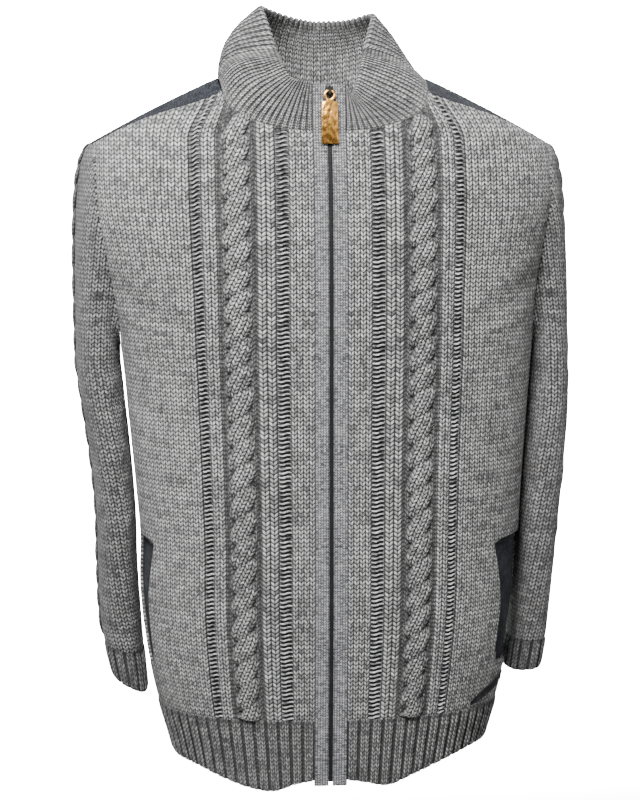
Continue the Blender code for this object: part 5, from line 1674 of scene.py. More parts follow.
def back_half(side, rows):
    """Half of the back: its outside, points, outward directions and stitch numbers."""
    per_column = KNIT_PITCH / girth_at_chest(side, "back")
    steps = range(int(1.0 / per_column * SAMPLES_EACH))
    shares = np.array([k / SAMPLES_EACH * per_column for k in steps] + [1.0])
    rise_at = np.array([PLAIN_SWELL if k % SAMPLES_EACH else 0.0 for k in steps] + [0.0])
    bottom = RIB_TOP - SEAM_LAP
    tip = level_of(YOKE_BACK_TIP) - GAP / 2
    edge_levels = np.linspace(bottom, tip, rows)
    ends = np.array([back_end(side, float(level)) for level in edge_levels])
    low = yoke_edge_height(side)
    tops = [back_level(side, min(float(share), float(ends[-1])), low) for share in shares]
    tops = np.array(tops) - GAP / 2
    share, level, points, out = panel_grid(side, "back", shares, edge_levels, ends, tops)
    to_edge = (ends[None, :] - share) * girth_at_chest(side, "back")
    rise = rise_at[:, None] * (1 - near_edge(to_edge, SEAM_FADE))
    rise = rise - SEAM_DIP * near_edge(to_edge, DIP_WIDTH) * (level > CHEST)
    rise = rise - SEAM_DIP * near_edge(level - bottom, SEAM_FADE)
    rise = rise - SEAM_DIP * near_edge(tops[:, None] - level, SEAM_FADE)
    rise = rise + crease_depth("back", points)
    outer = points + out * rise[..., None]
    uv = np.stack((side * share / per_column, rows_at(level)), axis=-1)
    return outer, points, out, uv


def make_back(rows=200):
    halves = zip(back_half(-1, rows), back_half(1, rows))
    outer, points, out, uv = (mirrored(left, right) for left, right in halves)
    chosen = (every(len(outer), 7), every(rows, 6))
    pick = np.ix_(*chosen)
    shells = Shells()
    shells.add(outer, points[pick] - out[pick] * WALL, chosen, uv)
    return shells.build("back_knit", finish_of("marled_knit"))


def dense_from(columns, across, up):
    """A fine grid through coarse columns of points."""
    surface = Surface(np.array(columns))
    u = np.linspace(0, 1, across)
    v = np.linspace(0, 1, up)
    return surface.point(u[:, None], v[None, :])


def measured_uv(points, pitch, row):
    """Stitch counts measured along the cloth, from its first column and row."""
    across = np.linalg.norm(np.diff(points, axis=0), axis=-1).mean(axis=1)
    along = np.linalg.norm(np.diff(points, axis=1), axis=-1).mean(axis=0)
    u = np.concatenate(([0.0], np.cumsum(across))) / pitch
    v = np.concatenate(([0.0], np.cumsum(along))) / row
    return np.stack(np.meshgrid(u, v, indexing="ij"), axis=-1)


def yoke_line_points(side, share):
    """A line of the yoke over the shoulder, from a front's edge to the back."""
    chest_x = distance_at(side, "front", CHEST, share)
    edge_level = level_of(edge_angle(side, chest_x)) + GAP * 1.7
    edge = body_point(side, "front", share, edge_level)
    tip_level = level_of(EDGE_AT_TIP)
    arm_x = abs(body_point(side, "front", arm_share(side, "front", tip_level), tip_level).x)
    neck_x = NECK_HALF + 0.0008
    reach = min(max((abs(edge.x) - neck_x) / (arm_x - neck_x), 0.0), 1.0)

    def point(face, angle):
        v = level_of(angle)
        climb, _ = rounded((v - CHEST) / DOME, DOME_POWER)
        arm = body_point(side, face, arm_share(side, face, v), v)
        x = neck_x + (abs(arm.x) - neck_x) * reach
        neck_z = CHEST + (shoulder_height(neck_x) - CHEST) * climb
        if face == "back":
            low = yoke_edge_height(side)
            climb = (arm.z - low) / (shoulder_height(abs(arm.x)) - low)
            neck_z = fall_to_edge(neck_x, shoulder_height(neck_x), low, v)
        ridge = shoulder_height(neck_x) * (1 - reach) + shoulder_height(abs(arm.x)) * reach
        z = neck_z * (1 - reach) + arm.z * reach + (shoulder_height(x) - ridge) * climb
        return Vector((side * x, surface_depth(side, face, x, z), z))

    first = [edge] + [point("front", angle) for angle in YOKE_TIP_ANGLES] + [point("back", 90.0)]
    second = [point("back", 90.0)] + [point("back", angle) for angle in reversed(YOKE_BACK_ANGLES)]
    second.append(point("back", YOKE_BACK_TIP + math.degrees(GAP / 2 / DOME)))
    return first, second


def yoke_neck_points(side, angle):
    seam = back_neck_point(side, angle)
    x = abs(seam.x)
    points = []
    for station in (90.0,) + tuple(reversed(YOKE_BACK_ANGLES)) + (YOKE_BACK_TIP,):
        z = fall_to_edge(x, seam.z - GAP, yoke_edge_height(side) + GAP / 2, level_of(station))
        points.append(Vector((side * x, surface_depth(side, "back", x, z), z)))
    return points


def make_yoke():
    shells = Shells()
    middle = (0.0, 0.0, -0.25)
    back_columns = {}
    for side in (1, -1):
        corner = corner_share(side)
        tip = arm_share(side, "front", level_of(EDGE_AT_TIP))
        fronts = []
        backs = []
        for share in spread(tip, corner, 9):
            first, second = yoke_line_points(side, share)
            fronts.append(first)
            backs.append(second)
        back_columns[side] = backs + [yoke_neck_points(side, angle) for angle in YOKE_NECK_ANGLES]
        add_plain(shells, dense_from(fronts, 70, 14), middle, *YOKE_STITCH, WALL)
    columns = back_columns[1] + [yoke_neck_points(1, 180)] + list(reversed(back_columns[-1]))
    add_plain(shells, dense_from(columns, 230, 60), middle, *YOKE_STITCH, WALL)
    return shells.build("yoke_cloth", finish_of("slate_knit"))


def add_plain(shells, points, middle, pitch, row, wall):
    """One smooth shell of fine cloth, facing away from a middle point."""
    out = grid_directions(points, middle)
    chosen = (every(points.shape[0], 5), every(points.shape[1], 5))
    pick = np.ix_(*chosen)
    shells.add(points, points[pick] - out[pick] * wall, chosen, measured_uv(points, pitch, row))


# ---------------------------------------------------------------- hem ribs and cuffs
RIB_SAMPLES = (0.0, 0.10, 0.16, 0.22, 0.33, 0.44, 0.49, 0.51, 0.56, 0.67, 0.78, 0.84, 0.90)


def rib_at(part):
    """Height, column and purl mark at a part of the way across a rib of two columns."""
    if part < RIB_GROOVE or part > 1 - RIB_GROOVE:
        across = part - 1 if part > 0.5 else part
        return -RIB_SINK, 2.5 + across / (2 * RIB_GROOVE), 1.0
    place = (part - RIB_GROOVE) / (1 - 2 * RIB_GROOVE) * 2
    return RIB_STAND_HEM * hump(place % 1) ** 0.8 + 0.0001, place, 0.0


def rib_lines(count):
    lines = []
    for k in range(count):
        for part in RIB_SAMPLES:
            rise, column, ground = rib_at(part)
            number = 3 * k + column - (3 if part < RIB_GROOVE else 0)
            lines.append(((k + part) / count, number, rise, ground))
    lines.append((1.0, 3 * count - 0.5, rib_at(0.0)[0], 1.0))
    return np.array(lines)


def hem_half(side, face, rows=15):
    """A stretch of the hem from the middle to the side, ready to be made a shell."""
    lines = rib_lines(rib_count(side, face))
    shares = lines[:, 0]
    lows = np.array([hem_height(side, face, float(share)) for share in shares])
    t = np.linspace(0, 1, rows)
    level = lows[:, None] + (RIB_TOP - lows[:, None]) * t[None, :]
    share = np.broadcast_to(shares[:, None], level.shape)
    points, out, _ = body_frame(side, face, share, level)
    rise = lines[:, 2][:, None] * (1 - 0.5 * near_edge(level - lows[:, None], SEAM_FADE))
    rise = rise * (1 - 0.8 * near_edge(RIB_TOP - level, 0.004))
    rise = rise - 0.0006 * near_edge(level - lows[:, None], 0.0015)
    outer = points + out * rise[..., None]
    column = side * lines[:, 1][:, None] * np.ones_like(level)
    uv = np.stack((column, (level - RIB_TOP) / ROW), axis=-1)
    ground = lines[:, 3][:, None] * np.ones_like(level)
    return outer, points, out, uv, ground


def make_hem(name, halves):
    outer, points, out, uv, ground = halves
    chosen = (every(len(outer), 5), every(outer.shape[1], 4))
    pick = np.ix_(*chosen)
    inner = points[pick] - out[pick] * (WALL - 0.0004)
    shells = Shells()
    # Painted shade: the whole hem is darkened, most along its top where it meets the body, and
    # fully in its grooves.
    wear_and_painted_shade = np.maximum(ground, 0.38 + 0.45 * near_edge(-uv[..., 1] * ROW, 0.006))
    shells.add(outer, inner, chosen, uv, {"purl": ground, "shade": wear_and_painted_shade})
    return shells.build(name + "_rib", finish_of("marled_knit"))


def make_cuff(side, name, rows=16):
    girth = sleeve_section(side, CUFF_TOP)[0][-1]
    lines = rib_lines(round(girth / RIB_PITCH))
    levels = np.linspace(CUFF_TOP - GAP, CUFF_END[side], rows)
    grid = []
    for level in levels.tolist():
        here = sleeve_section(side, level)[0][-1]
        around = here * np.minimum(lines[:, 0], 0.99999)
        grid.append([tuple(sleeve_spot(side, level, place)) for place in around])
    points = np.array(grid).transpose(1, 0, 2)
    points[-1] = points[0]
    middle = points.reshape(-1, 3).mean(axis=0)
    ahead = np.roll(points[:-1], -1, axis=0) - np.roll(points[:-1], 1, axis=0)
    ahead = np.concatenate((ahead, ahead[:1]))
    out = unit(np.cross(ahead, np.array((0.0, 0.0, 1.0))))
    out = out * np.sign(np.median(np.sum(out * (points - middle), axis=-1)))
    t = np.linspace(0, 1, rows)[None, :]
    drawn_in = (1 - 0.8 * near_edge(t, 0.08)) * (1 - 0.4 * near_edge(1 - t, 0.06))
    rise = lines[:, 2][:, None] * drawn_in
    rise = rise - 0.0012 - 0.0005 * near_edge(1 - t, 0.04)
    outer = points + out * rise[..., None]
    chosen = (every(len(lines), 5), every(rows, 5))
    pick = np.ix_(*chosen)
    inner = points[pick] - out[pick] * (WALL + 0.0012)
    counted = (levels - CUFF_TOP) / ROW
    uv = np.stack(np.meshgrid(lines[:, 1], counted, indexing="ij"), axis=-1)
    # Painted shade: the whole cuff is darkened, most along its top where the sleeve meets it, and
    # fully in its grooves.
    wear_and_painted_shade = np.maximum(lines[:, 3][:, None], 0.18 + 0.4 * near_edge(t, 0.1))
    marks = {"purl": lines[:, 3][:, None], "shade": wear_and_painted_shade}
    shells = Shells()
    shells.add(outer, inner, chosen, uv, marks, closed=True)
    return shells.build(name + "_rib", finish_of("sleeve_knit"))


# ---------------------------------------------------------------- sleeves
def armhole_points(side):
    """Points round the armhole from the shoulder, down the front and up the back."""
    stations = [("back", 90.0)]
    stations += [("front", angle) for angle in spread(87.0, 3.0, 29)]
    stations += [("front", 0.0)]
    stations += [("back", angle) for angle in spread(3.0, 87.0, 29)]
    ring = []
    for face, angle in stations:
        level = level_of(angle)
        ring.append(body_point(side, face, arm_share(side, face, level), level))
    return ring


@lru_cache(maxsize=None)
def sleeve_surface(side):
    """The sleeve on an even grid: share of the way round the armhole, and metres down."""
    ring = armhole_points(side)
    places, length = sleeve_places(ring)
    total = sleeve_length() - HEM_GAP
    around = list(zip(places, ring)) + [(length, ring[0])]
    grid = []
    for step in range(97):
        place = length * step / 96
        index = max(i for i, (at, _) in enumerate(around[:-1]) if at <= place + 1e-9)
        t = (place - around[index][0]) / (around[index + 1][0] - around[index][0])
        start = around[index][1].lerp(around[index + 1][1], t) - Vector((side * SEAM_LAP, 0, 0))
        column = []
        for down in np.linspace(0, total, 61):
            column.append(tuple(sleeve_point(side, start, place % length, length, float(down))))
        grid.append(column)
    return Surface(grid, (0.0, 1.0), (0.0, total)), length, total


def sleeve_frame(side, around, down):
    """Points and outward directions, going on past the start of the round."""
    surface, length, _ = sleeve_surface(side)
    around = np.asarray(around, float)
    step = 0.004
    before = surface.point((around - step) % 1.0, down)
    after = surface.point((around + step) % 1.0, down)
    low = surface.point(around % 1.0, np.asarray(down) - 0.002)
    high = surface.point(around % 1.0, np.asarray(down) + 0.002)
    out = unit(np.cross(high - low, after - before)) * -side
    return surface.point(around % 1.0, down), out


def hanging_stitches(points):
    """Columns counted round a sleeve at each height from its outer line, and level rows."""
    heights = np.linspace(points[..., 2].min(), points[..., 2].max(), 240)
    level = np.empty((len(points), len(heights), 2))
    for index, line in enumerate(points):
        order = np.argsort(line[:, 2])
        for axis in (0, 1):
            level[index, :, axis] = np.interp(heights, line[order, 2], line[order, axis])
    half = len(points) // 2
    step = np.linalg.norm(np.diff(level, axis=0), axis=-1)
    run = np.zeros(level.shape[:2])
    run[1:half + 1] = np.cumsum(step[:half], axis=0)
    run[half + 1:-1] = -np.cumsum(step[:half:-1], axis=0)[::-1]
    column = np.empty(points.shape[:2])
    for index, line in enumerate(points):
        column[index] = np.interp(line[:, 2], heights, run[index]) / KNIT_PITCH
    return column, points[..., 2] / ROW


def make_sleeve(side, name, rows=200):
    _, length, total = sleeve_surface(side)
    columns = round(length / (KNIT_PITCH + 0.0003))
    around = np.linspace(0, 1, columns * SAMPLES_EACH + 1)
    down = np.linspace(0, total, rows)
    around_grid, down_grid = np.meshgrid(around, down, indexing="ij")
    points, out = sleeve_frame(side, around_grid, down_grid)
    column, counted = hanging_stitches(points)
    rise = -SEAM_DIP * near_edge(down_grid, SEAM_FADE)
    beside = np.minimum(around_grid, 1 - around_grid) * length
    bed = near_edge(np.maximum(beside - SLEEVE_CABLE_HALF, 0), 0.002) * (down_grid > 0.01)
    rise = rise - 0.0007 * bed - 0.0006 * near_edge(total - down_grid, SEAM_FADE)
    rise = rise + crease_depth(name, points)
    inward = np.clip(-side * out[..., 0], 0, 1) * np.clip(down_grid / 0.12 - 0.5, 0, 1)
    rise = rise + SLEEVE_FULLNESS * inward ** 2 * (1 - near_edge(total - down_grid, 0.06))
    outer = points + out * rise[..., None]
    chosen = (every(len(around), 6), every(rows, 6))
    pick = np.ix_(*chosen)
    inner = points[pick] - out[pick] * WALL
    uv = np.stack((column, counted), axis=-1)
    marks = {"purl": bed, "shade": bed * 0.55}
    shells = Shells()
    shells.add(outer, inner, chosen, uv, marks, closed=True)
    return shells.build(name + "_knit", finish_of("sleeve_knit"))


def make_sleeve_cable(side, name):
    _, length, total = sleeve_surface(side)

    def place(across, rows, height):
        down = np.clip(-rows * ROW, 0.004, total - 0.002)
        points, out = sleeve_frame(side, -side * across / length, down)
        eased = height * np.clip(down / 0.07, 0.25, 1) ** 0.8
        return points + out * eased[..., None]

    parts = []
    crossing = -ROWS_PER_CROSSING * 0.8
    while crossing * ROW > -total - 0.004:
        parts.append(strand(place, crossing, SLEEVE_CABLE_HALF))
        crossing -= ROWS_PER_CROSSING
    return joined(name, parts, finish_of("sleeve_knit"))


# ---------------------------------------------------------------- collar
COLLAR_SAMPLES = (0.0, 0.10, 0.20, 0.35, 0.5, 0.65, 0.80, 0.90)
COLLAR_ROWS = 34             # rows of points up the outside
BRIM_ROWS = 6                # and over the brim
# Dents where the collar rolls over: middle, half width and depth.
COLLAR_DENTS = (
    ((-0.066, -0.082, 0.012), 0.013, 0.0035),
    ((0.030, -0.100, -0.022), 0.010, 0.0015),
    ((-0.080, 0.040, 0.020), 0.016, 0.0020),
    ((0.078, 0.045, 0.022), 0.015, 0.0018),
)


def collar_dents(points):
    total = np.zeros(points.shape[:-1])
    for middle, width, depth in COLLAR_DENTS:
        away = np.linalg.norm(points - np.array(middle), axis=-1) / width
        total -= depth * np.exp(-away ** 2)
    return total


def collar_rib(part):
    """Height, column and purl mark at a part of the way across a rib of one column."""
    before = part - COLLAR_GROOVE
    after = part - (1 - COLLAR_GROOVE)
    if before < 0:
        return -COLLAR_SINK, before / (2 * COLLAR_GROOVE), 1.0
    if after > 0:
        return -COLLAR_SINK, 1 + after / (2 * COLLAR_GROOVE), 1.0
    place = before / (1 - 2 * COLLAR_GROOVE)
    return COLLAR_STAND * hump(place), place, 0.0


@lru_cache(maxsize=None)
def collar_surfaces():
    turns = spread(0.0, 2.0, 161)
    ups = spread(0.0, 1.0, 17)
    outside = []
    inside = []
    for turn in turns:
        pairs = [collar_pair(turn, up) for up in ups]
        outside.append([tuple(pair[0]) for pair in pairs])
        inside.append([tuple(pair[1]) for pair in pairs])
    return Surface(outside, (0.0, 2.0)), Surface(inside, (0.0, 2.0))


def make_collar():
    outside, inside = collar_surfaces()
    turns = np.linspace(0, 2, 801)
    seam = outside.point(turns, 0.0)
    run = np.concatenate(([0.0], np.cumsum(np.linalg.norm(np.diff(seam, axis=0), axis=1))))
    ribs = round(run[-1] / COLLAR_PITCH)
    lines = []
    for k in range(ribs):
        for part in COLLAR_SAMPLES:
            rise, column, ground = collar_rib(part)
            lines.append(((k + part) / ribs, 2 * k + column, rise, ground))
    lines.append((1.0, 2 * ribs - 0.5, -COLLAR_SINK, 1.0))
    lines = np.array(lines)
    turn = np.interp(lines[:, 0] * run[-1], run, turns)
    up = np.linspace(0, 1, COLLAR_ROWS)
    outer = outside.point(turn[:, None], up[None, :])
    inner = inside.point(turn[:, None], up[None, :])
    across = unit(outer - inner)
    rise = lines[:, 2][:, None]
    dents = collar_dents(outer)
    fade = np.minimum(up * 5, 1.0)[None, :]
    near_brim = np.exp(-((1 - up) / 0.10) ** 2)[None, :]
    outer = outer + across * (rise * fade + dents)[..., None]
    inner = inner + across * (dents * 0.8 - rise * 0.8 * near_brim)[..., None]
    outer[:, 0] += unit(outer[:, 0] - outer[:, 1]) * 0.0010 - across[:, 0] * 0.0006

    top = (outer[:, -1] + inner[:, -1]) / 2
    half = (outer[:, -1] - inner[:, -1]) / 2
    rim_up = unit(outer[:, -1] - outer[:, -3])
    lift = np.linalg.norm(half, axis=1, keepdims=True) * 0.9
    brim = []
    for angle in np.linspace(0, math.pi, BRIM_ROWS + 2)[1:-1]:
        brim.append(top + half * math.cos(angle) + rim_up * lift * math.sin(angle))
    brim = np.array(brim).transpose(1, 0, 2)
    inside_rows = inner[:, ::-1][:, ::2]
    inside_count = inside_rows.shape[1]
    sheet = np.concatenate((outer, brim, inside_rows), axis=1)
    columns, count = sheet.shape[:2]

    faces = grid_quads(columns, count)
    for start in range(0, (columns - 1) * count, count):
        faces.append((start, start + count - 1, start + 2 * count - 1, start + count))
    last = COLLAR_ROWS - 1
    for start in (0, (columns - 1) * count):
        first = [(j, start + j) for j in range(COLLAR_ROWS)]
        second = []
        for j in reversed(range(inside_count)):
            place = last - last * j / (inside_count - 1)
            second.append((place, start + COLLAR_ROWS + BRIM_ROWS + j))
        faces += zip_runs(first, second)
        faces.append(tuple(range(start + last, start + last + BRIM_ROWS + 2)))

    steps = np.linalg.norm(np.diff(sheet, axis=1), axis=-1).mean(axis=0)
    along = np.concatenate(([0.0], np.cumsum(steps))) / (ROW * 0.92)
    uv = np.stack(np.meshgrid(lines[:, 1], along, indexing="ij"), axis=-1)
    uv[:, -inside_count:, 0] *= COLLAR_PITCH / (2 * COLLAR_INSIDE_PITCH)
    ground = lines[:, 3][:, None] * np.ones(uv.shape[:2])
    ground[:, 2 - inside_count:] = 0.0
    marks = {"purl": ground, "shade": ground * 0.95}
    return mesh_object("collar_rib", sheet.reshape(-1, 3), faces, finish_of("marled_knit"),
                       uv.reshape(-1, 2), marks, ROUND_EDGE)


# ---------------------------------------------------------------- bands and zip
def make_band(side, name, rows=320):
    """A folded strip beside the zip: its rounded outline, drawn from the hem to the collar."""
    outer_x = BAND_EDGE + SEAM_LAP
    inner_x = BAND_INNER
    proud = -0.0012
    behind = 0.0018
    fold = 0.0013
    heights = np.linspace(ZIP_END, ZIP_TOP + 0.0045, rows)
    depth = np.array([front_line(float(z)) for z in heights])
    wave = 0.00018 * np.sin(heights * 310) + 0.00022 * np.sin(heights * 97 + side)
    line = [(inner_x, behind)]
    quarter = [math.pi / 2 * step / 4 for step in range(5)]
    for angle in quarter:
        line.append((inner_x + fold * (1 - math.cos(angle)), proud + fold * (1 - math.sin(angle))))
    flat = outer_x - inner_x - 2 * fold
    line += [(inner_x + fold + flat * k / 8, proud) for k in range(1, 8)]
    for angle in quarter:
        line.append((outer_x - fold * (1 - math.sin(angle)), proud + fold * (1 - math.cos(angle))))
    line.append((outer_x, behind))
    xs, ys = np.array(line).T
    crown = np.sin(np.clip((xs - inner_x) / (outer_x - inner_x), 0, 1) * math.pi)
    points = np.empty((len(line), rows, 3))
    points[..., 0] = side * xs[:, None]
    points[..., 1] = depth[None, :] + ys[:, None] - crown[:, None] * (0.0003 + wave[None, :])
    points[..., 2] = heights[None, :]
    faces = grid_quads(len(line), rows)
    last = (len(line) - 1) * rows
    faces += [(j, j + 1, last + j + 1, last + j) for j in range(rows - 1)]
    faces.append(tuple(range(0, last + rows, rows)))
    faces.append(tuple(range(rows - 1, last + rows, rows)))
    run = np.concatenate(([0.0], np.cumsum(np.hypot(np.diff(xs), np.diff(ys)))))
    uv = np.stack(np.meshgrid(run / BAND_PITCH, heights / BAND_PITCH, indexing="ij"), axis=-1)
    # Painted shade along the band's outer edge, where it meets the front, and lighter painted shade
    # along its inner edge beside the zip.
    wear_and_painted_shade = 0.9 * near_edge(outer_x - xs, 0.0011) + 0.35 * near_edge(xs - inner_x, 0.0022)
    marks = {"shade": np.broadcast_to(wear_and_painted_shade[:, None], uv.shape[:2])}
    return mesh_object(name + "_cloth", points.reshape(-1, 3), faces, finish_of("band_knit"),
                       uv.reshape(-1, 2), marks, ROUND_EDGE)


def tooth_shape():
    """One zip tooth with rounded edges, one unit wide."""
    work = bmesh.new()
    bmesh.ops.create_cube(work, size=1.0)
    bmesh.ops.bevel(work, geom=work.edges[:], offset=0.18, segments=1, affect="EDGES")
    mesh = bpy.data.meshes.new("tooth_shape")
    work.to_mesh(mesh)
    work.free()
    return linked("tooth_shape", mesh)


TOOTH_SIZE = (0.0019, 0.0010, 0.0015)
TOOTH_PITCH = 0.0026         # on each half of the zip


def make_teeth():
    """Teeth from the two halves of the zip by turns, leaning as the cloth leans."""
    places, turns = [], []
    reach = 0.004
    side = -1
    z = ZIP_END + 0.006
    while z < ZIP_TOP - 0.004:
        slope = (front_line(z + reach) - front_line(z - reach)) / (2 * reach)
        places.append((side * 0.0007, front_line(z) + 0.0001, z))
        turns.append((math.atan(-slope), 0.0, 0.0))
        z += TOOTH_PITCH / 2
        side = -side
    sizes = [TOOTH_SIZE] * len(places)
    return repeat("zip_teeth", tooth_shape(), places, turns, sizes, finish_of("zip_metal"), 0.03, 3)


def make_pull():
    """Flat cast tab with a ring at its top, its edges rounded."""
    ring_half_width = 0.0062
    ring_half_height = 0.0057
    ring_middle = -0.0046
    ring_from, ring_turn = -52, 284
    bar = 0.0011
    hole_half_width = 0.0036
    hole_low = -0.0078
    neck = -0.0108
    neck_half_width = 0.0039
    half_top = PULL_WIDTH / 2 - 0.0008
    half_low = PULL_WIDTH / 2
    end = neck - PULL_LENGTH + 0.002
    corner = 0.0007
    edge_round = 0.00045
    outline = []
    for step in range(25):
        angle = math.radians(ring_from + ring_turn * step / 24)
        z = ring_middle + ring_half_height * math.sin(angle)
        outline.append((ring_half_width * math.cos(angle), z))
    outline += [
        (-neck_half_width, neck),
        (-half_top + corner, neck),
        (-half_top, neck - corner),
        (-half_low, end + corner),
        (-half_low + corner, end),
        (half_low - corner, end),
        (half_low, end + corner),
        (half_top, neck - corner),
        (half_top - corner, neck),
        (neck_half_width, neck),
    ]
    middle = (-bar + hole_low) / 2
    hole = []
    for step in range(24):
        angle = 2 * math.pi * step / 24
        hole.append((hole_half_width * math.cos(angle), middle + (-bar - middle) * math.sin(angle)))
    work = bmesh.new()
    half = PULL_THICKNESS / 2
    edges = []
    for points in (outline, hole):
        verts = [work.verts.new((x, -half, z)) for x, z in points]
        edges += [work.edges.new(pair) for pair in zip(verts, verts[1:] + verts[:1])]
    bmesh.ops.triangle_fill(work, use_beauty=True, use_dissolve=True, edges=edges)
    grown = bmesh.ops.extrude_face_region(work, geom=work.faces[:])
    moved = [item for item in grown["geom"] if isinstance(item, bmesh.types.BMVert)]
    bmesh.ops.translate(work, verts=moved, vec=(0, PULL_THICKNESS, 0))
    bmesh.ops.recalc_face_normals(work, faces=work.faces)
    rims = [edge for edge in work.edges if edge.is_manifold and edge.calc_face_angle(0) > 1.2
            and abs(edge.verts[0].co.y - edge.verts[1].co.y) < 1e-6]
    bmesh.ops.bevel(work, geom=rims, offset=edge_round, segments=2, affect="EDGES", profile=0.5)
    lean = Matrix.Translation(pull_axis()) @ Matrix.Rotation(-pull_lean(), 4, "X")
    bmesh.ops.transform(work, matrix=lean, verts=work.verts)
    mesh = bpy.data.meshes.new("pull_tab")
    work.to_mesh(mesh)
    work.free()
    mesh.shade_smooth()
    mesh.set_sharp_from_angle(angle=math.radians(METAL_EDGE))
    return linked("pull_tab", mesh, finish_of("cast_brass"))


# ---------------------------------------------------------------- pockets and side tab
FACING_STITCH = (0.0026, 0.0022)  # width and height of a stitch
FACING_THICK = 0.0012
FACING_SINK = WALL + 0.0008  # how far a facing lies inside the body's surface


def make_facing(side, name):
    first = share_at(side, "front", CHEST, FRONT_BANDS[-1][2])
    last = 2 - FACING_BACK_SHARE
    levels = spread(MOUTH[0][0] - MOUTH_RUNOUT, MOUTH[-1][0] + MOUTH_RUNOUT / 2, 23)
    columns = []
    for part in spread(0, 1, 9):
        column = []
        for level in levels:
            start = first + (min(front_edge(side, level), 0.97) - first) * 0.62
            share = start + (last - start) * part
            column.append(tuple(sunk_point(side, share, level, FACING_SINK)))
        columns.append(column)
    points = dense_from(columns, 44, 80)
    shells = Shells()
    add_plain(shells, points, (0.0, 0.0, -0.55), *FACING_STITCH, FACING_THICK)
    return shells.build(name + "_cloth", finish_of("slate_knit"))


def sunk_point(side, share, level, sink):
    """Point a little inside the body's surface, past the side seam too."""
    face = "front"
    if share > 1:
        face = "back"
        share = 2 - share
    points, out, _ = body_frame(side, face, np.array(share), np.array(level))
    return points - out * sink


TAB_FROM = (0.1500, -0.6552)  # distance from the zip and height of the tab's near end
TAB_LENGTH = 0.0400
TAB_THICK = 0.0006
TAB_STITCH = (0.0009, 0.0009)


def make_side_tab():
    """Narrow leaf of dark tape near the right side, with a turned edge along its top."""
    columns = []
    for t in spread(0, 1, 30):
        low = TAB_FROM[1] + 0.0135 * t + 0.0020 * t * t
        height = 0.0012 + 0.0090 * math.sin(math.pi * min(0.5, 0.12 + 0.75 * t))
        column = []
        for up in spread(0, 1, 15):
            level = low + height * up
            share = share_at(1, "front", level, TAB_FROM[0] + TAB_LENGTH * t)
            edge = min(up, 1 - up, t * 4, (1 - t) * 4)
            turned = 0.0007 * math.exp(-((up - 0.93) / 0.06) ** 2)
            stand = 0.0011 + TAB_THICK * min(edge * 6, 1.0) + turned
            column.append(sunk_point(1, share, level, -stand))
        columns.append(column)
    shells = Shells()
    add_plain(shells, np.array(columns), (0.0, 0.0, -0.64), *TAB_STITCH, TAB_THICK)
    return shells.build("tab_cloth", finish_of("tab_weave"))


# ---------------------------------------------------------------- operators
def dress(piece, slot_name, *nodes, body=BODY_NAME):
    """Attaches a piece to its body and hides the nodes it stands for; the slot name is not used."""
    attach(piece, body)
    if nodes:
        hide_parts(*nodes)
    return piece


SIDES = ((-1, "left"), (1, "right"))


class CardiganSizes(bpy.types.PropertyGroup):
    """Sizes and light that a user may change"""

    stage_drop: bpy.props.FloatProperty(
        name="Stage drop", description="How far below the garment the floor lies",
        default=1.9, min=0.02, max=4.0, unit="LENGTH")
    key_power: bpy.props.FloatProperty(
        name="Key light", description="Power of the large front light in watts",
        default=52.0, min=0.0, max=500.0)
    backdrop_power: bpy.props.FloatProperty(
        name="Backdrop lights", description="Power of each light on the backdrop in watts",
        default=2600.0, min=0.0, max=9000.0)
    sky: bpy.props.FloatProperty(
        name="Surrounding light", description="Strength of the even light all round",
        default=0.09, min=0.0, max=5.0)


class CARDIGAN_OT_fronts(bpy.types.Operator):
    """Knits both fronts with their cables and ladders"""

    bl_idname = "cardigan.fronts"
    bl_label = "Fronts"

    def execute(self, context):
        for side, word in SIDES:
            name = "front_" + word
            front = dress(make_front(side, name), "marled_wool", name)
            cable = dress(make_cable(side, name + "_cable"), "marled_wool")
            bars = dress(make_ladders(side, name + "_ladders"), "marled_wool")
        return {"FINISHED"}


class CARDIGAN_OT_back(bpy.types.Operator):
    """Knits the back and lays the yoke over the shoulders"""

    bl_idname = "cardigan.back"
    bl_label = "Back and yoke"

    def execute(self, context):
        back = dress(make_back(), "marled_wool", "back")
        yoke = dress(make_yoke(), "slate_jersey", "yoke")
        return {"FINISHED"}


class CARDIGAN_OT_hems(bpy.types.Operator):
    """Knits the ribs of the hem"""

    bl_idname = "cardigan.hems"
    bl_label = "Hem ribs"

    def execute(self, context):
        for side, word in SIDES:
            name = "hem_front_" + word
            hem = dress(make_hem(name, hem_half(side, "front")), "marled_wool", name)
        halves = zip(hem_half(-1, "back"), hem_half(1, "back"))
        hem = make_hem("hem_back", [mirrored(left, right) for left, right in halves])
        dress(hem, "marled_wool", "hem_back")
        return {"FINISHED"}


class CARDIGAN_OT_sleeves(bpy.types.Operator):
    """Knits the sleeves with a cable down the outer side, and their cuffs"""

    bl_idname = "cardigan.sleeves"
    bl_label = "Sleeves and cuffs"

    def execute(self, context):
        for side, word in SIDES:
            name = "sleeve_" + word
            sleeve = dress(make_sleeve(side, name), "sleeve_wool", name)
            cable = dress(make_sleeve_cable(side, name + "_cable"), "sleeve_wool")
            cuff = dress(make_cuff(side, "cuff_" + word), "sleeve_wool", "cuff_" + word)
        return {"FINISHED"}


class CARDIGAN_OT_collar(bpy.types.Operator):
    """Knits the ribbed stand collar"""

    bl_idname = "cardigan.collar"
    bl_label = "Collar"

    def execute(self, context):
        collar = dress(make_collar(), "marled_wool", "collar")
        return {"FINISHED"}


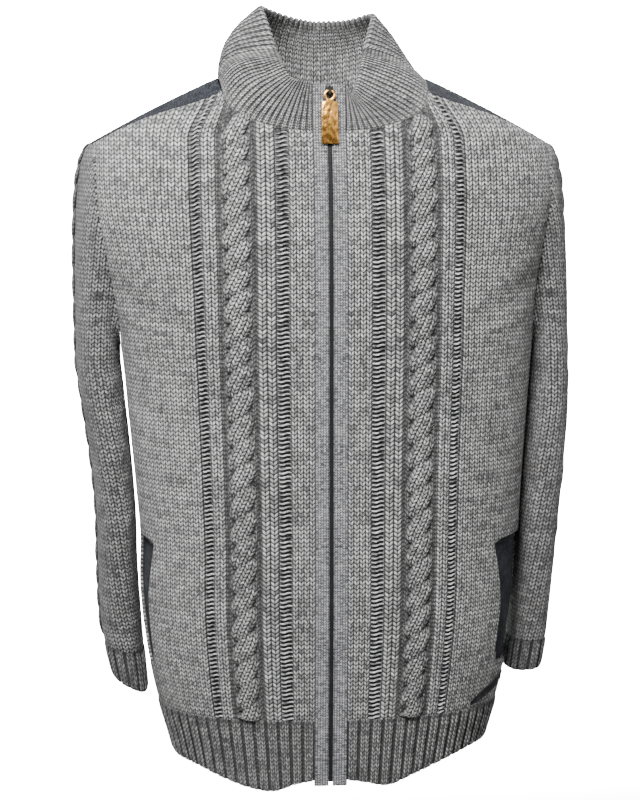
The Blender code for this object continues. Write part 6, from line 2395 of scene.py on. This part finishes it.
class CARDIGAN_OT_zip(bpy.types.Operator):
    """Makes the bands, the zip's teeth and its pull tab"""

    bl_idname = "cardigan.zip"
    bl_label = "Bands and zip"

    def execute(self, context):
        for side, word in SIDES:
            name = "band_" + word
            band = dress(make_band(side, name), "band_jersey", name)
        dress(make_teeth(), "zip_tape")
        dress(make_pull(), "brass", "zip_pull", body=PULL_NAME)
        paint_node("zip_chain", "zip_tape")
        paint_node("zip_slider", "zip_metal")
        return {"FINISHED"}


def paint_node(node, finish_name):
    """Gives a CAD node that stays in view its detailed finish."""
    for slot in bpy.data.objects[node].material_slots:
        slot.material = finish_of(finish_name)


class CARDIGAN_OT_pockets(bpy.types.Operator):
    """Makes the cloth that shows in the pocket mouths, and the side tab"""

    bl_idname = "cardigan.pockets"
    bl_label = "Pockets and tab"

    def execute(self, context):
        for side, word in SIDES:
            name = "pocket_facing_" + word
            facing = dress(make_facing(side, name), "slate_jersey", name)
        tab = dress(make_side_tab(), "tab_cloth", "side_tab")
        return {"FINISHED"}


class CARDIGAN_OT_stage(bpy.types.Operator):
    """Sets the camera, the soft lights and a plain pale floor"""

    bl_idname = "cardigan.stage"
    bl_label = "Stage"

    def execute(self, context):
        sizes = context.scene.cardigan_sizes
        make_floor(sizes.stage_drop)
        make_camera()
        make_sky(sizes.sky)
        make_lights(GARMENT_LIGHTS, sizes.key_power)
        make_lights(BACKDROP_LIGHTS, sizes.backdrop_power)
        return {"FINISHED"}


# The floor's profile: how far it reaches to the front, the sides and the back, and the
# radius and height of the backdrop.
FLOOR_HALF = 9.0
FLOOR_BACK = 6.0
BEND_RADIUS = 3.0
BACKDROP_HEIGHT = 7.0


def make_floor(drop):
    """Floor that curves up into a backdrop far behind the garment."""
    low = CAD_BOX[0][2] - drop
    profile = [(-FLOOR_HALF, low), (FLOOR_BACK, low)]
    for step in range(1, 17):
        angle = math.pi / 2 * step / 16
        y = FLOOR_BACK + BEND_RADIUS * math.sin(angle)
        profile.append((y, low + BEND_RADIUS * (1 - math.cos(angle))))
    profile.append((FLOOR_BACK + BEND_RADIUS, low + BACKDROP_HEIGHT))
    verts = [(x, y, z) for y, z in profile for x in (-FLOOR_HALF, FLOOR_HALF)]
    faces = [(i, i + 1, i + 3, i + 2) for i in range(0, len(verts) - 2, 2)]
    mesh = bpy.data.meshes.new("pale_floor")
    mesh.from_pydata(verts, [], faces)
    mesh.shade_smooth()
    linked("pale_floor", mesh, finish_of("pale_floor"))


GARMENT_MIDDLE = (0.0, 0.0, -0.35)
EYE_AWAY = 2.392
EYE_HEIGHT = -0.0208
EYE_YAW = 5                  # degrees towards the garment's right
AIM_HEIGHT = -0.343
LENS = 101.4                 # millimetres, on a 36 mm wide sensor
# Each light: name, place, what it points at, size, spread in degrees, share of its power.
GARMENT_LIGHTS = (
    ("key", (-0.55, -1.40, 1.30), GARMENT_MIDDLE, 1.0, 120, 1.0),
    ("fill", (1.7, -2.4, 0.9), GARMENT_MIDDLE, 1.8, 120, 0.17),
    ("back", (0.9, 2.4, 1.3), GARMENT_MIDDLE, 1.4, 120, 0.22),
)
BACKDROP_LIGHTS = (
    ("backdrop_left", (-3.4, 4.6, 0.6), (0.3, 8.6, -1.6), 1.4, 80, 1.0),
    ("backdrop_right", (3.4, 4.6, 0.6), (0.9, 8.6, -1.6), 1.4, 80, 1.0),
)


def point_at(obj, place, target):
    """Sets a camera or a light at a place and turns it to a target."""
    obj.location = place
    aim = Vector(target) - obj.location
    obj.rotation_euler = aim.to_track_quat("-Z", "Y").to_euler()


def make_camera():
    """The eye is about 2.4 m away, level with the neck and a little to the garment's right."""
    data = bpy.data.cameras.new("camera")
    data.lens = LENS
    data.sensor_width = 36.0
    data.dof.use_dof = False
    camera = linked("camera", data)
    yaw = math.radians(EYE_YAW)
    eye = (-EYE_AWAY * math.sin(yaw), -EYE_AWAY * math.cos(yaw), EYE_HEIGHT)
    point_at(camera, eye, (0.0, 0.0, AIM_HEIGHT))
    bpy.context.scene.camera = camera


def make_lights(lights, power):
    for name, place, target, size, spread_angle, share in lights:
        data = bpy.data.lights.new(name, "AREA")
        data.shape = "SQUARE"
        data.size = size
        data.energy = power * share
        data.spread = math.radians(spread_angle)
        point_at(linked(name, data), place, target)


def make_sky(strength):
    """Even white light from all round."""
    world = bpy.data.worlds.new("studio")
    world.use_nodes = True
    white = (1.0, 1.0, 1.0, 1.0)
    feed(world.node_tree, world.node_tree.nodes["Background"], {0: white, 1: strength})
    bpy.context.scene.world = world


class CARDIGAN_PT_panel(bpy.types.Panel):
    """Lists the pieces of the cardigan"""

    bl_idname = "CARDIGAN_PT_panel"
    bl_label = "Cardigan"
    bl_space_type = "VIEW_3D"
    bl_region_type = "UI"
    bl_category = "Cardigan"

    def draw(self, context):
        sizes = context.scene.cardigan_sizes
        for key in ("stage_drop", "key_power", "backdrop_power", "sky"):
            self.layout.prop(sizes, key)
        for step in STEPS:
            self.layout.operator(step.bl_idname)


STEPS = (
    CARDIGAN_OT_stage,
    CARDIGAN_OT_fronts,
    CARDIGAN_OT_back,
    CARDIGAN_OT_hems,
    CARDIGAN_OT_sleeves,
    CARDIGAN_OT_collar,
    CARDIGAN_OT_zip,
    CARDIGAN_OT_pockets,
)
CLASSES = (CardiganSizes,) + STEPS + (CARDIGAN_PT_panel,)


def register():
    for item in CLASSES:
        bpy.utils.register_class(item)
    bpy.types.Scene.cardigan_sizes = bpy.props.PointerProperty(type=CardiganSizes)


def unregister():
    del bpy.types.Scene.cardigan_sizes
    for item in reversed(CLASSES):
        bpy.utils.unregister_class(item)


def main():
    register()
    for step in STEPS:
        module, name = step.bl_idname.split(".")
        getattr(getattr(bpy.ops, module), name)()


if __name__ == "__main__":
    main()
